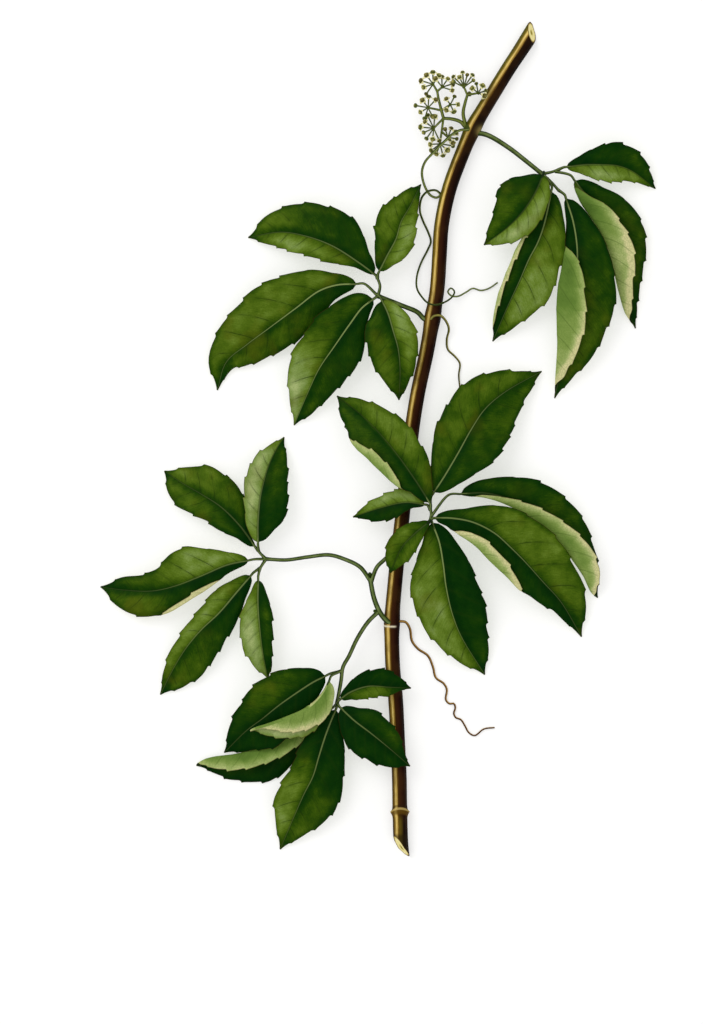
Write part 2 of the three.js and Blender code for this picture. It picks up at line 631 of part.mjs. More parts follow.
function leafletStalk(name, [across, down, height]) {
  const spine = ribOf(leaflets[name]);
  const start = onSheet([across, down], height);
  const back = directionAt(spine, 0).negate();
  const end = spine(0).addScaledVector(back, SEAT_GAP);
  const reach = start.distanceTo(end);
  const bend = end.clone().addScaledVector(back, reach * 0.3);
  const last = end.clone().addScaledVector(back, PETIOLULE_END);
  const radii = [PETIOLULE_RADIUS, PETIOLULE_RADIUS * STALK_TAPER];
  return taperedTube([start, bend, last, end], radii, PETIOLULE_SIDES, PETIOLULE_STEP);
}

function stalkSolid({ runs, bears }) {
  const tubes = runs.map(({ points, radius }) => (
    taperedTube(path3(points), [radius, radius * STALK_TAPER], STALK_SIDES, STALK_STEP)
  ));
  return clearOfStem(fuse([...tubes, ...bears.map(([name, from]) => leafletStalk(name, from))]));
}

// Tendrils, each a list of [across, down, height].
const tendrils = {
  tendril_1: [
    [472, 129, 6.5], [466, 129.5, 8.5], [460, 130.5, 10], [453, 134, 10.9], [443, 143, 10.8], [432, 154, 9],
    [425, 162, 7], [422, 172, 4.8], [425, 186, 2.4], [431, 195, 1.4], [437, 197, 1.3], [440.5, 194, 2],
    [436, 190, 3.3], [428, 191, 3.8], [422, 197, 3], [420, 210, 1.4], [423, 220, 1], [428, 231, 1],
    [431, 241, 1], [428, 249, 1], [421, 263, 1.3], [417, 276, 2.4], [417, 288, 4.6], [422, 297, 7],
    [428, 303, 8.7], [436, 305, 9], [445, 302, 8.2], [452, 297, 6.6], [454.5, 291.5, 5.6], [451, 288, 4.8],
    [448, 291.5, 4], [451.5, 295.5, 3.2], [458, 296, 2.2], [466, 292, 1.4], [473, 288, 1], [481, 290, 0.8],
    [489, 288, 0.7], [498, 282, 0.7],
  ],
  tendril_2: [
    [431, 319, 6.8], [434, 316, 8.4], [440, 315.5, 8], [446, 321, 5.4], [449, 329, 3], [447, 339, 1.4],
    [448, 349, 0.9], [455, 356, 0.8], [460, 363, 0.8], [459, 375, 0.8], [460, 387, 0.8],
  ],
  tendril_3: [
    [396, 622, 4.4], [402, 621.5, 4.4], [406, 622.5, 3.8], [410, 629, 2.4], [412, 641, 1.2], [418, 649, 0.9],
    [428, 656, 0.8], [433, 667, 0.8], [436, 678, 0.8], [444, 684, 0.8], [447, 690, 0.8], [446, 700, 0.8],
    [449.5, 704, 0.8], [454, 704, 0.8], [455.5, 708, 0.8], [454, 714, 0.8], [456, 718, 0.8], [461, 720, 0.8],
    [465, 726, 0.8], [469, 733, 0.8], [475, 736, 0.8], [484, 729.5, 0.8], [495, 728, 0.8],
  ],
};

// Flower cluster: forking branches, each ending in an umbel of short rays that carry a bud or small flower.
const clusterBranches = [
  {
    points: [
      [473, 130, 4.4], [466, 127, 5], [461, 121.8, 6], [452.6, 119, 7], [443.5, 118.2, 7.6],
    ],
    radius: [1.1, 0.8],
  },
  { points: [[466, 126, 5.2], [463.2, 113.3, 7], [465.3, 102.1, 8.4], [467.4, 95.1, 9]], radius: [1, 0.7] },
  {
    points: [
      [443.5, 118.2, 7.6], [441.4, 110.5, 8.4], [438.6, 99.3, 9.4], [437.2, 91.6, 9.8],
    ],
    radius: [0.8, 0.6],
  },
];
const umbels = [
  { from: [467.4, 95.1, 9], at: [463.9, 87.4, 9.6], facing: 95, spread: 120, rays: 7, reach: 7.2 },
  { from: [467.4, 95.1, 9], at: [478.2, 93.2, 9], facing: 80, spread: 210, rays: 6, reach: 4.6 },
  { from: [437.2, 91.6, 9.8], at: [433, 84.5, 10], facing: 145, spread: 180, rays: 6, reach: 6.2 },
  { from: [437.2, 91.6, 9.8], at: [442.1, 87.4, 10.6], facing: 55, spread: 150, rays: 5, reach: 6 },
  { from: [441.4, 110.5, 8.4], at: [428.1, 107.7, 8.2], facing: 170, spread: 250, rays: 7, reach: 6 },
  { from: [441.4, 110.5, 8.4], at: [450.2, 104.9, 10], facing: 0, spread: 250, rays: 5, reach: 4.6 },
  { from: [443.5, 118.2, 7.6], at: [433.7, 128.1, 6.6], facing: 190, spread: 210, rays: 8, reach: 6.8 },
  { from: [443.5, 118.2, 7.6], at: [440, 143.5, 4.6], facing: 285, spread: 200, rays: 7, reach: 6.2 },
  { from: [441, 131, 6.6], at: [448, 137, 5.6], facing: 30, spread: 160, rays: 5, reach: 5 },
];

// A repeatable run of numbers between 0 and 1.
function seededRandom(seed) {
  let state = seed;
  return () => {
    state = (state * 1664525 + 1013904223) % 4294967296;
    return state / 4294967296;
  };
}

// One ray with its bud: a thin rod that widens into a closed bud with a blunt tip.
function buddedRay(centre, out, length) {
  const side = new THREE.Vector3(0, 0, 1).cross(out).normalize();
  const up = new THREE.Vector3().crossVectors(out, side);
  const profile = [
    [HUB_RADIUS * 0.55, RAY_RADIUS * 0.6],
    [length - BUD_RADIUS * 1.1, RAY_RADIUS],
    [length, BUD_RADIUS],
    [length + BUD_RADIUS, BUD_RADIUS * 0.4],
  ];
  return skin(profile.map(([along, radius]) => {
    const ring = [];
    for (let k = 0; k < RAY_SIDES; k += 1) {
      const angle = (2 * Math.PI * k) / RAY_SIDES;
      ring.push(centre.clone()
        .addScaledVector(out, along)
        .addScaledVector(side, Math.cos(angle) * radius)
        .addScaledVector(up, Math.sin(angle) * radius));
    }
    return ring;
  }));
}

function flowerCluster() {
  const random = seededRandom(7);
  const pieces = clusterBranches.map(({ points, radius }) => (
    taperedTube(path3(points), radius, BRANCH_SIDES, BRANCH_STEP)
  ));
  for (const { from, at, facing, spread, rays, reach } of umbels) {
    const [start, centre] = path3([from, at]);
    const middle = start.clone().lerp(centre, 0.5);
    pieces.push(taperedTube([start, middle, centre], UMBEL_STALK_RADIUS, UMBEL_STALK_SIDES, UMBEL_STALK_STEP));
    pieces.push(new THREE.OctahedronGeometry(HUB_RADIUS, 0).translate(centre.x, centre.y, centre.z));
    for (let k = 0; k < rays; k += 1) {
      const turn = radians(facing + spread * (k / (rays - 1) - 0.5));
      const climb = radians(RAY_CLIMB[k % 2]);
      const length = reach * THREE.MathUtils.lerp(RAY_LENGTHS[0], RAY_LENGTHS[1], random());
      const out = new THREE.Vector3(
        Math.cos(turn) * Math.cos(climb),
        Math.sin(turn) * Math.cos(climb),
        Math.sin(climb),
      );
      pieces.push(buddedRay(centre, out, length));
    }
  }
  return clearOfStem(fuse(pieces));
}

// Assembly
const plant = new THREE.Group();

function addPiece(name, geometry, look) {
  const piece = new THREE.Mesh(geometry, new THREE.MeshStandardMaterial(look));
  piece.name = name;
  plant.add(piece);
}

addPiece("main_stem", toGeometry(stemSolid), COLOURS.bark);
for (const [name, stalk] of Object.entries(stalks)) {
  addPiece(name, toGeometry(stalkSolid(stalk)), COLOURS.stalk);
}
for (const [name, leaflet] of Object.entries(leaflets)) {
  addPiece(name, leafletSkin(leaflet), COLOURS.leaf);
}
for (const [name, points] of Object.entries(tendrils)) {
  const tendril = toSolid(taperedTube(path3(points), TENDRIL_RADIUS, TENDRIL_SIDES, TENDRIL_STEP));
  addPiece(name, toGeometry(clearOfStem(tendril)), COLOURS.tendril);
}
addPiece("flower_cluster", toGeometry(flowerCluster()), COLOURS.flower);

export default plant;
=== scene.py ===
# Looks of a cut, flowering length of a climbing vine that lies on a flat surface and is seen from above.
# Places are [across, down] on a sheet ruled in units of half a millimetre, as in the part's source.
# Lengths in this script are millimetres until a mesh is made, which is in metres.
import math
from types import SimpleNamespace

import bmesh
import bpy
import numpy as np
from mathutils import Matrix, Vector


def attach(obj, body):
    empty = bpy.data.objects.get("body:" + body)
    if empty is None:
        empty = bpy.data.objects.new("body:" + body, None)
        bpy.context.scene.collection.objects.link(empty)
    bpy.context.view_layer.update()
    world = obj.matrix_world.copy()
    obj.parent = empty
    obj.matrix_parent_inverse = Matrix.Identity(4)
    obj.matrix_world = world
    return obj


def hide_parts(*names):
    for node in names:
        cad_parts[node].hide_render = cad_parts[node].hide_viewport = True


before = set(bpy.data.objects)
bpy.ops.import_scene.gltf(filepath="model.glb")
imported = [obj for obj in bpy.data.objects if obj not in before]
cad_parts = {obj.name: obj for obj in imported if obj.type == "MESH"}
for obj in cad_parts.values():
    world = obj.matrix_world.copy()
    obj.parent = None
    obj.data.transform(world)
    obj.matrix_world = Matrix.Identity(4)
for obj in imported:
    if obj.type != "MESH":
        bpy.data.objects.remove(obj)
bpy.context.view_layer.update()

METRES = 0.001
UNIT = 0.5
SHEET_CENTRE = (378.2, 442)
CURVE_STEPS = 20
LOWEST = 0.02

# Leaf blades. The margin's uneven bays have a depth, as a share of the width, and a pace along the blade.
BLADE_MIDDLE = 0.5
BLADE_MARGIN = 0.3
BLADE_DROOP = 16
BASE_HALF_WIDTH = 0.5
TIP_HALF_WIDTH = 0.3
BASE_ROUNDNESS = 0.55
SECTION_STEPS = 96
PLAIN_STRIPS = 13
CURLED_STRIPS = 24
CURLED_TO_BEND = 9
CURLED_TO_FLAP = 17
CROWDING = 0.09
LONG_BAYS = (0.018, 9)
SHORT_BAYS = (0.012, 23)
BASE_ROWS = 16
TIP_ROWS = 9
FIRST_SEED = 40
BLADE_SHARP = 70

# Teeth of the margin
TEETH_FROM = 0.24
TEETH_TO = 0.95
TOOTH_DEPTH = 1.75
TOOTH_OUT = 0.42
TOOTH_IN = -0.16
TOOTH_RISE = 0.82
TOOTH_POINT = 0.09
TOOTH_LEAN = 0.35
TOOTH_STAGGER = 0.03
TOOTH_UNEVEN = 0.16
TOOTH_SIZES = (0.8, 1.15)
TOOTH_PLACES = (0, 0.12, 0.26, 0.4, 0.53, 0.64, 0.72, 0.77, 0.82, 0.86, 0.92)
SMALL_BLADE = 6

# Curled margins
CURL_RADIUS = 1.2
CURL_TURN = 174
CURL_EASE = (0.1, 0.1)
NARROW_FLAP = 3

# Relief of a blade: the midrib, the side veins and the puffed fields between them
RIB_GROOVE = 0.22
RIB_RIDGE = 0.45
RIB_WIDTH = 0.8
FIELD_PUFF = 0.2
MARGIN_WAVE = 0.22
RIB_THINS = 0.75
SIDE_VEINS = 7
VEIN_SLANT = 0.9
VEIN_BOW = 0.4
VEIN_STARTS = (0.12, 0.5)
UNDER_TONES = (0.4, 0.45, 0.5)

# Main stem
STEM_RADIUS = 3.65
STEM_HEIGHT = 3.35
STEM_SIDES = 56
STEM_STEP = 1.3
COLLAR_AT = 28.8
COLLAR_REACH = 6
COLLAR_STEP = 0.3
COLLAR_ARCH = 2.0
SCAR_REACH = 2.4
SCAR_STEP = 0.2
FOOT_BLUNT = 0.4
CUT_RINGS = (0.86, 0.66, 0.42)
PITH_DEPTH = 0.4
STEM_SHARP = 50

# Stalks, tendrils and the flower cluster
PETIOLE_RADIUS = 1.3
SHOOT_RADIUS = 1.4
THIN_PETIOLE_RADIUS = 1.08
PETIOLULE_RADIUS = 0.78
STALK_TAPER = 0.85
STALK_SHARP = 60
SEAT_REACH = 2.2
FIRST_SEAT = 0.35
NEXT_SEAT = 0.12
TENDRIL_RADIUS = (0.7, 0.4)
UMBEL_STALK_RADIUS = (0.6, 0.5)
RAY_RADIUS = 0.34
RAY_CLIMB = (30, -6)
RAY_LENGTHS = (0.86, 1.08)
HUB_RADIUS = 0.84
BUD_RADIUS = 1.2
BUD_SIZES = (0.8, 1.1)
OPEN_SHARE = 0.75
CLUSTER_SHARP = 55
PETAL_COUNT = 4
PETAL_ROWS = 6
PETAL_THICKNESS = 0.14

# Number of sides and step along the length of each kind of tube
STALK_TUBE = (16, 0.9)
PETIOLULE_TUBE = (16, 0.63)
TENDRIL_TUBE = (10, 0.8)
BRANCH_TUBE = (14, 0.8)
UMBEL_TUBE = (12, 0.6)
RAY_TUBE = (8, 0.6)

# Stretches of the stem's line, in mm from its start at the foot, over which a tint of the bark changes, and
# with it the bark's painted highlight and painted shade
FOOT_DARK = (16.5, 19.0)
BELOW_COLLAR = (24.0, COLLAR_AT)
YOUNG_GREEN = (280.0, 360.0)
YOUNG_DEEP_SHADE = (310.0, 370.0)
YOUNG_LIT = (340.0, 385.0)

# The main stem's line from foot to top, its swellings with their height and reach, and its two cuts with the
# direction each faces and how far it tilts up in degrees
STEM_LINE = [
    (404, 870), (401, 845), (400, 811), (399, 768), (395.5, 698), (392.5, 662), (392, 622), (396, 573),
    (401.5, 524), (407, 475), (412, 430), (417.5, 395), (426, 355), (432.5, 318), (437, 290), (439.5, 256),
    (442, 223), (449, 190), (459.5, 160), (474, 126), (483, 110), (507.5, 70), (520.5, 50), (542, 16),
]
SWELLINGS = [
    ((474, 129), 0.5, 6), ((432.5, 318), 0.5, 5), ((392, 622), 0.4, 5), ((399.7, 812.4), 0.9, 1.6),
    ((534, 30), 0.3, 14),
]
TOP_CUT = ((532, 32), (0.96, -0.29), 27)
FOOT_CUT = ((400.5, 847), (-0.82, 0.57), 22)
FOOT_END = (402, 849)
SCAR = (391.5, 625.9)
PATCH = ((480.5, 130.5, 5.5), 2.2)


def on_sheet(points):
    """Places on the sheet, with or without a height, as positions in millimetres."""
    rows = np.array(points, float)
    placed = np.zeros((len(rows), 3))
    placed[:, 0] = (rows[:, 0] - SHEET_CENTRE[0]) * UNIT
    placed[:, 1] = (SHEET_CENTRE[1] - rows[:, 1]) * UNIT
    if rows.shape[1] == 3:
        placed[:, 2] = rows[:, 2]
    return placed


def spot(place):
    return on_sheet([place])[0]


def unit(vectors):
    return vectors / np.maximum(np.linalg.norm(vectors, axis=-1, keepdims=True), 1e-9)


def ease(value, low, high):
    """A smooth run from 0 at low to 1 at high."""
    t = np.clip((np.asarray(value, float) - low) / (high - low), 0, 1)
    return t * t * (3 - 2 * t)


def bell(distance, width):
    return np.exp(-(distance / width) ** 2)


def keep_above(points, level):
    """Lifts the points that lie lower than a level up to it."""
    points[..., 2] = np.maximum(points[..., 2], level)


def leftward(along):
    """The level direction to the left of each direction."""
    return unit(np.stack([-along[:, 1], along[:, 0], 0 * along[:, 0]], -1))


def between(a, b, leave, arrive, t):
    """A smooth curve from a to b that leaves and arrives at the given slopes."""
    return ((2 * t**3 - 3 * t**2 + 1) * a + (t**3 - 2 * t**2 + t) * leave
            + (3 * t**2 - 2 * t**3) * b + (t**3 - t**2) * arrive)


def smooth(values, position):
    """Smooth reading of evenly spaced values, level beyond both ends."""
    values = np.array(values, float)
    position = np.clip(np.asarray(position, float), 0, len(values) - 1)
    low = np.minimum(position.astype(int), len(values) - 2)
    before = values[np.maximum(low - 1, 0)]
    after = values[np.minimum(low + 2, len(values) - 1)]
    a, b = values[low], values[low + 1]
    return between(a, b, (b - before) / 2, (after - a) / 2, position - low)


class Path:
    """A smooth line through points, read by a share of its length."""

    def __init__(self, points):
        p = np.array(points, float)
        ends = np.vstack([2 * p[0] - p[1], p, 2 * p[-1] - p[-2]])
        t = np.linspace(0, 1, CURVE_STEPS, endpoint=False)[:, None]
        pieces = []
        for a, b, c, d in zip(ends, ends[1:], ends[2:], ends[3:]):
            ab, bc, cd = (np.linalg.norm(q - r) ** 0.5 for q, r in ((b, a), (c, b), (d, c)))
            leave = ((b - a) / ab - (c - a) / (ab + bc) + (c - b) / bc) * bc
            arrive = ((c - b) / bc - (d - b) / (bc + cd) + (d - c) / cd) * bc
            pieces.append(between(b, c, leave, arrive, t))
        self.line = np.vstack(pieces + [p[-1:]])
        steps = np.linalg.norm(np.diff(self.line, axis=0), axis=1)
        self.reach = np.concatenate([[0], np.cumsum(steps)])
        self.length = self.reach[-1]

    def at(self, share):
        distance = np.clip(share, 0, 1) * self.length
        return np.stack([np.interp(distance, self.reach, self.line[:, k]) for k in range(3)], -1)


def new_object(name, data):
    made = bpy.data.objects.new(name, data)
    bpy.context.scene.collection.objects.link(made)
    return made


class Piece:
    """Vertices, faces and per-vertex marks of one object, gathered before its mesh is made."""

    def __init__(self):
        self.points = []
        self.faces = []
        self.looks = []
        self.marks = {}
        self.count = 0

    def add(self, points, faces, look=0, **marks):
        points = np.asarray(points, float).reshape(-1, 3)
        for name in {**self.marks, **marks}:
            values = np.asarray(marks.get(name, 0.0), float).ravel()
            column = self.marks.setdefault(name, [np.zeros(self.count)])
            column.append(np.broadcast_to(values, (len(points),)))
        self.points.append(points)
        self.faces.extend([tuple(int(i) + self.count for i in face) for face in faces])
        self.looks.extend(look if isinstance(look, list) else [look] * len(faces))
        self.count += len(points)

    def make(self, name, materials, sharp):
        mesh = bpy.data.meshes.new(name)
        mesh.from_pydata((np.vstack(self.points) * METRES).tolist(), [], self.faces)
        for material in materials:
            mesh.materials.append(material)
        mesh.polygons.foreach_set("material_index", self.looks)
        mesh.polygons.foreach_set("use_smooth", [True] * len(self.faces))
        mesh.set_sharp_from_angle(angle=math.radians(sharp))
        for mark, values in self.marks.items():
            layer = mesh.attributes.new(mark, "FLOAT", "POINT")
            layer.data.foreach_set("value", np.concatenate(values).astype(np.float32))
        mesh.update()
        return new_object(name, mesh)


def ring_faces(rows, sides):
    """Faces of a closed tube of rings."""
    faces = []
    for r in range(rows - 1):
        for k in range(sides):
            a = r * sides + k
            b = r * sides + (k + 1) % sides
            faces.append((a, b, b + sides, a + sides))
    faces.append(tuple(range(sides - 1, -1, -1)))
    faces.append(tuple((rows - 1) * sides + k for k in range(sides)))
    return faces


def skin_faces(rows, columns):
    """Top, bottom and rim faces of a thin skin, for a grid of upper points and then one of lower points."""
    count = rows * columns
    index = np.arange(count).reshape(rows, columns)
    top = []
    bottom = []
    for r in range(rows - 1):
        for c in range(columns - 1):
            a, b, d, e = index[r, c], index[r, c + 1], index[r + 1, c + 1], index[r + 1, c]
            top.append((a, b, d, e))
            bottom.append((a + count, e + count, d + count, b + count))
    around = [*index[0], *index[1:, -1], *index[-1, -2::-1], *index[-2:0:-1, 0]]
    rim = [(b, a, a + count, b + count) for a, b in zip(around, around[1:] + around[:1])]
    return top, bottom, rim


def carried_frames(centres):
    """For each centre of a path, two directions square to the path, without twist."""
    along = unit(np.gradient(centres, axis=0))
    sides = [unit(np.cross(along[0], (0, 0, 1)))]
    for direction in along[1:]:
        sides.append(unit(sides[-1] - direction * np.dot(sides[-1], direction)))
    sides = np.array(sides)
    return sides, np.cross(sides, along)


def taper(first, last):
    return lambda share: first + (last - first) * share


def add_tube(piece, path, radius_at, sides, step):
    """A round tube with blunt ends. radius_at gives the radius at a share of the length."""
    rows = max(4, int(round(path.length / step)))
    share = np.linspace(0, 1, rows + 1)
    centres = path.at(share)
    side, up = carried_frames(centres)
    radius = radius_at(share)[:, None]
    angle = np.linspace(0, 2 * np.pi, sides, endpoint=False)
    flank = np.repeat(np.cos(angle)[None], rows + 1, axis=0)
    crest = np.repeat(np.sin(angle)[None], rows + 1, axis=0)
    spread = side[:, None] * flank[..., None] + up[:, None] * crest[..., None]
    points = centres[:, None] + spread * radius[..., None]
    keep_above(points, LOWEST)
    along = np.repeat(share * path.length, sides)
    # The crest and flank marks place each point around the tube; stalk looks paint their highlight and shade
    # by them.
    piece.add(points, ring_faces(rows + 1, sides), crest=crest, flank=flank, side_mm=flank * radius,
              along_mm=along)


def half_width(widths, share):
    values = [BASE_HALF_WIDTH] + list(widths) + [TIP_HALF_WIDTH]
    position = share * (len(values) - 1)
    if position < 1:
        return values[0] + (values[1] - values[0]) * position**BASE_ROUNDNESS
    return float(smooth(values, position))


class Spine:
    """The midrib of a leaflet in space."""

    def __init__(self, rib, rise):
        self.path = Path(on_sheet(rib))
        self.rise = rise
        self.length = self.path.length

    def at(self, share):
        share = np.asarray(share, float)
        point = self.path.at(share)
        base, arch, tip = self.rise
        point[..., 2] = base + (tip - base) * share + arch * 4 * share * (1 - share)
        return point

    def along(self, share):
        share = np.asarray(share, float)
        return unit(self.at(np.minimum(share + 0.02, 1)) - self.at(np.maximum(share - 0.02, 0)))


def tooth_rows(teeth, random):
    """Shares of the length with how far the margin stands out there, and how near a tooth's point is."""
    bounds = np.linspace(TEETH_FROM, TEETH_TO, teeth + 1)
    bounds[1:-1] += random.uniform(-TOOTH_UNEVEN, TOOTH_UNEVEN, teeth - 1) * (bounds[1] - bounds[0])
    sizes = random.uniform(*TOOTH_SIZES, teeth)
    rows = [(share, 0.0, 0.0) for share in np.linspace(0, TEETH_FROM, BASE_ROWS, endpoint=False)]
    for k in range(teeth):
        for place in TOOTH_PLACES:
            if place <= TOOTH_RISE:
                climb = place / TOOTH_RISE
                bulge = 0.55 * math.sin(climb * math.pi / 2) + 0.45 * climb**7
                out = TOOTH_IN + (TOOTH_OUT - TOOTH_IN) * bulge
            else:
                drop = (place - TOOTH_RISE) / (1 - TOOTH_RISE)
                out = TOOTH_OUT + (TOOTH_IN - TOOTH_OUT) * min(1.0, drop * 3) ** 0.8
            near = max(0.0, 1 - abs(place - TOOTH_RISE) / TOOTH_POINT)
            rows.append((bounds[k] + (bounds[k + 1] - bounds[k]) * place, out * sizes[k], near))
    for share in np.linspace(TEETH_TO, 1, TIP_ROWS):
        rows.append((float(share), TOOTH_IN * (1 - (share - TEETH_TO) / (1 - TEETH_TO)), 0.0))
    return rows


def curl_amount(curl, share):
    """How far the margin is turned over there, 0 to 1, and how wide the turned flap is."""
    if not curl or share <= curl["start"] or share >= curl["end"]:
        return 0.0, 0.0
    first, last = curl.get("ease", CURL_EASE)
    inside = min((share - curl["start"]) / first, (curl["end"] - share) / last)
    amount = math.sin(math.pi / 2 * min(inside, 1))
    widths = [0] + curl["flap"] + [0]
    flap = max(float(smooth(widths, share * (len(widths) - 1))), 0)
    return amount, flap * amount**2


def section(width, curl, amount, flap, lift):
    """One half's section from the rib outward: distances, places across and up, slopes, its bend and end."""
    reach = bend_from = total = width
    turn = bend = 0.0
    radius = CURL_RADIUS
    if amount > 0:
        reach = width + curl.get("fold", 0) * amount
        turn = math.radians(curl.get("turn", CURL_TURN)) * amount
        # A narrow flap is rolled more tightly.
        radius = CURL_RADIUS * (0.4 + 0.6 * min(flap / NARROW_FLAP, 1))
        bend_from = max(reach - radius * math.sin(min(abs(turn), math.pi / 2)), 0.3)
        bend = radius * abs(turn)
        total = bend_from + bend + flap
    steps = np.linspace(0, total + 2 * TOOTH_DEPTH, SECTION_STEPS + 1)
    middle = (steps[1:] + steps[:-1]) / 2
    turned = np.clip((middle - bend_from) / radius, 0, abs(turn)) * (1 if turn >= 0 else -1)
    droop = math.radians(BLADE_DROOP) * np.minimum(middle / reach, 1)
    slope = math.radians(lift) - droop + turned
    length = np.diff(steps)
    across = np.concatenate([[0], np.cumsum(np.cos(slope) * length)])
    up = np.concatenate([[0], np.cumsum(np.sin(slope) * length)])
    return steps, across, up, np.concatenate([[slope[0]], slope]), bend_from, bend, total


def strips_of(curl):
    return CURLED_STRIPS if curl else PLAIN_STRIPS


def place_columns(curl, amount, bend_from, bend, total):
    count = strips_of(curl)
    # Columns are closer near the rib and near the margin, where the surface bends most.
    even = np.linspace(0, 1, count + 1)
    even = (even - CROWDING * np.sin(2 * np.pi * even)) * total
    if not curl:
        return even
    marks = np.interp(np.arange(count + 1), (0, CURLED_TO_BEND, CURLED_TO_FLAP, count),
                      (0, bend_from, bend_from + bend, total))
    return even + (marks - even) * amount


def blade_halves(leaf):
    """The left and the right half of a blade, each with its own widths, lift, painted light and shade, and
    curl.
    """
    curl = leaf.get("curl")
    return [
        SimpleNamespace(sign=sign, widths=leaf[side], lift=lift, painted_light_tones=painted_light_tones, vein_start=start,
                        curl=curl if curl and curl["side"] == side else None)
        for side, sign, lift, painted_light_tones, start in zip(("left", "right"), (1, -1), leaf["lift"], leaf["tone"],
                                                  VEIN_STARTS)
    ]


def relief_of(row, phase):
    """Heights of a row's relief: fields puffed up between side veins, a wavy margin, the rib in a groove."""
    fade = ease(row.edge, 0, 1.0) * min(1, 12 * row.share + 0.1) * min(1, 8 * (1 - row.share) + 0.1)
    field = np.abs(np.sin(np.pi * row.vein)) ** 0.7
    puff = FIELD_PUFF * (field - 0.4) * ease(row.distance, 0.4, 2.4) * fade * ease(row.width, 2, 7)
    wave = MARGIN_WAVE * np.sin(17 * row.place + phase + row.sign)
    wave = wave * ease(row.out, 0.5, 1) * ease(row.width, 3, 8)
    groove = -RIB_GROOVE * bell(row.distance, RIB_WIDTH) * min(1, 6 * (1 - row.share))
    return (puff + wave * (1 - row.amount)) * ease(row.edge, -0.2, 0.6) + groove


def half_row(leaf, half, spine, waves, share, tooth, near):
    """One row of half a blade, from the rib outward: its places, facings, thickness and marks."""
    sign = half.sign
    # Small uneven bays keep two margins from being the same.
    width = half_width(half.widths, share)
    depth, pace = LONG_BAYS
    bays = depth * math.sin(pace * share + waves[0] + sign)
    depth, pace = SHORT_BAYS
    width *= 1 + bays + depth * math.sin(pace * share + waves[1] * sign)
    amount, flap = curl_amount(half.curl, share)
    steps, across, up, slopes, bend_from, bend, total = section(width, half.curl, amount, flap, half.lift)
    flat = place_columns(half.curl, amount, bend_from, bend, total)
    out = flat / total
    scale = min(max(width, flap) / SMALL_BLADE, 1)
    jag = tooth * TOOTH_DEPTH * scale * out**4
    distance = np.maximum(flat + jag, 0)
    edge = np.maximum(total + jag[-1] - distance, 0)
    place = share + sign * TOOTH_STAGGER * out * math.sin(math.pi * share)
    # Each tooth's point leans toward the leaflet's tip.
    place = np.minimum(place + near * TOOTH_LEAN / spine.length * out**12, 1)
    # The side veins run outward and forward.
    full = max(width, 0.7 * max(leaf["left"] + leaf["right"]) * amount, 0.5)
    reach = distance / full
    shift = VEIN_SLANT * full / spine.length * ((1 - VEIN_BOW) * reach + VEIN_BOW * reach**2)
    vein = (place - shift) * SIDE_VEINS + half.vein_start
    marks = dict(
        across_mm=sign * distance, edge_mm=edge, along=place, vein=vein, reach=reach,
        # The tone is the half's painted light and shade, from base to tip.
        tone=smooth(half.painted_light_tones, share * (len(half.painted_light_tones) - 1)), point=near * scale * (out > 0.985),
        pale=smooth(leaf.get("under", UNDER_TONES), share * 2), rib_light=leaf["rib_light"],
    )
    along = spine.along(place)
    left = leftward(along)
    upward = np.cross(along, left)
    a, u, slope = (np.interp(distance, steps, values) for values in (across, up, slopes))
    facing = unit(upward * np.cos(slope)[:, None] - left * (sign * np.sin(slope))[:, None])
    row = SimpleNamespace(share=share, sign=sign, width=width, amount=amount, out=out, distance=distance,
                          edge=edge, place=place, vein=vein)
    middle = spine.at(place) + left * (sign * a)[:, None] + upward * u[:, None]
    middle += facing * relief_of(row, waves[2])[:, None]
    thickness = BLADE_MARGIN / 2 + (BLADE_MIDDLE - BLADE_MARGIN) / 2 * ease(edge, 0, 3)
    return middle, facing, thickness, marks


def add_blade(piece, leaf, seed):
    """One leaflet's blade as a closed thin skin, with its relief and the marks its material reads."""
    random = np.random.default_rng(seed)
    spine = Spine(leaf["rib"], leaf["rise"])
    rows = tooth_rows(leaf["teeth"], random)
    waves = random.uniform(0, 2 * np.pi, 3)
    halves = blade_halves(leaf)
    rib, right_strips = (strips_of(half.curl) for half in halves)
    shape = (len(rows), rib + 1 + right_strips)
    middle = np.zeros(shape + (3,))
    normal = np.zeros(shape + (3,))
    thickness = np.zeros(shape)
    marks = {}
    for r, row in enumerate(rows):
        for half in halves:
            here = (r, slice(rib, None, -half.sign))
            middle[here], normal[here], thickness[here], found = half_row(leaf, half, spine, waves, *row)
            for name, value in found.items():
                marks.setdefault(name, np.zeros(shape))[here] = value
    ridge = bell(marks["across_mm"], RIB_WIDTH) * RIB_RIDGE
    ridge *= (1 - RIB_THINS * marks["along"]) * np.clip(12 * (1 - marks["along"]), 0, 1)
    top = middle + normal * thickness[..., None]
    bottom = middle - normal * (thickness + ridge)[..., None]
    keep_above(top, 2 * thickness + 0.03)
    keep_above(bottom, LOWEST)
    upper_faces, under_faces, rim = skin_faces(*shape)
    upper, under = (1, 0) if leaf.get("turned") else (0, 1)
    looks = [upper] * len(upper_faces) + [under] * len(under_faces) + [upper] * len(rim)
    both = {name: np.stack([value, value]) for name, value in marks.items()}
    piece.add(np.stack([top, bottom]), upper_faces + under_faces + rim, looks, **both)
    return spine


def closer_rows(places, at, reach, step):
    """Places along the stem, with closer ones near one of them."""
    around = np.arange(at - reach, at + reach + 0.01, step)
    return np.concatenate([places[np.abs(places - at) > reach], around])


def stem_radius(centres):
    radius = np.full(len(centres), STEM_RADIUS)
    for place, height, reach in SWELLINGS:
        at = spot(place) + (0, 0, STEM_HEIGHT)
        radius += height * bell(np.linalg.norm(centres - at, axis=1), reach)
    return radius


def middle_of(face):
    return sum((vert.co for vert in face.verts), Vector()) / len(face.verts)


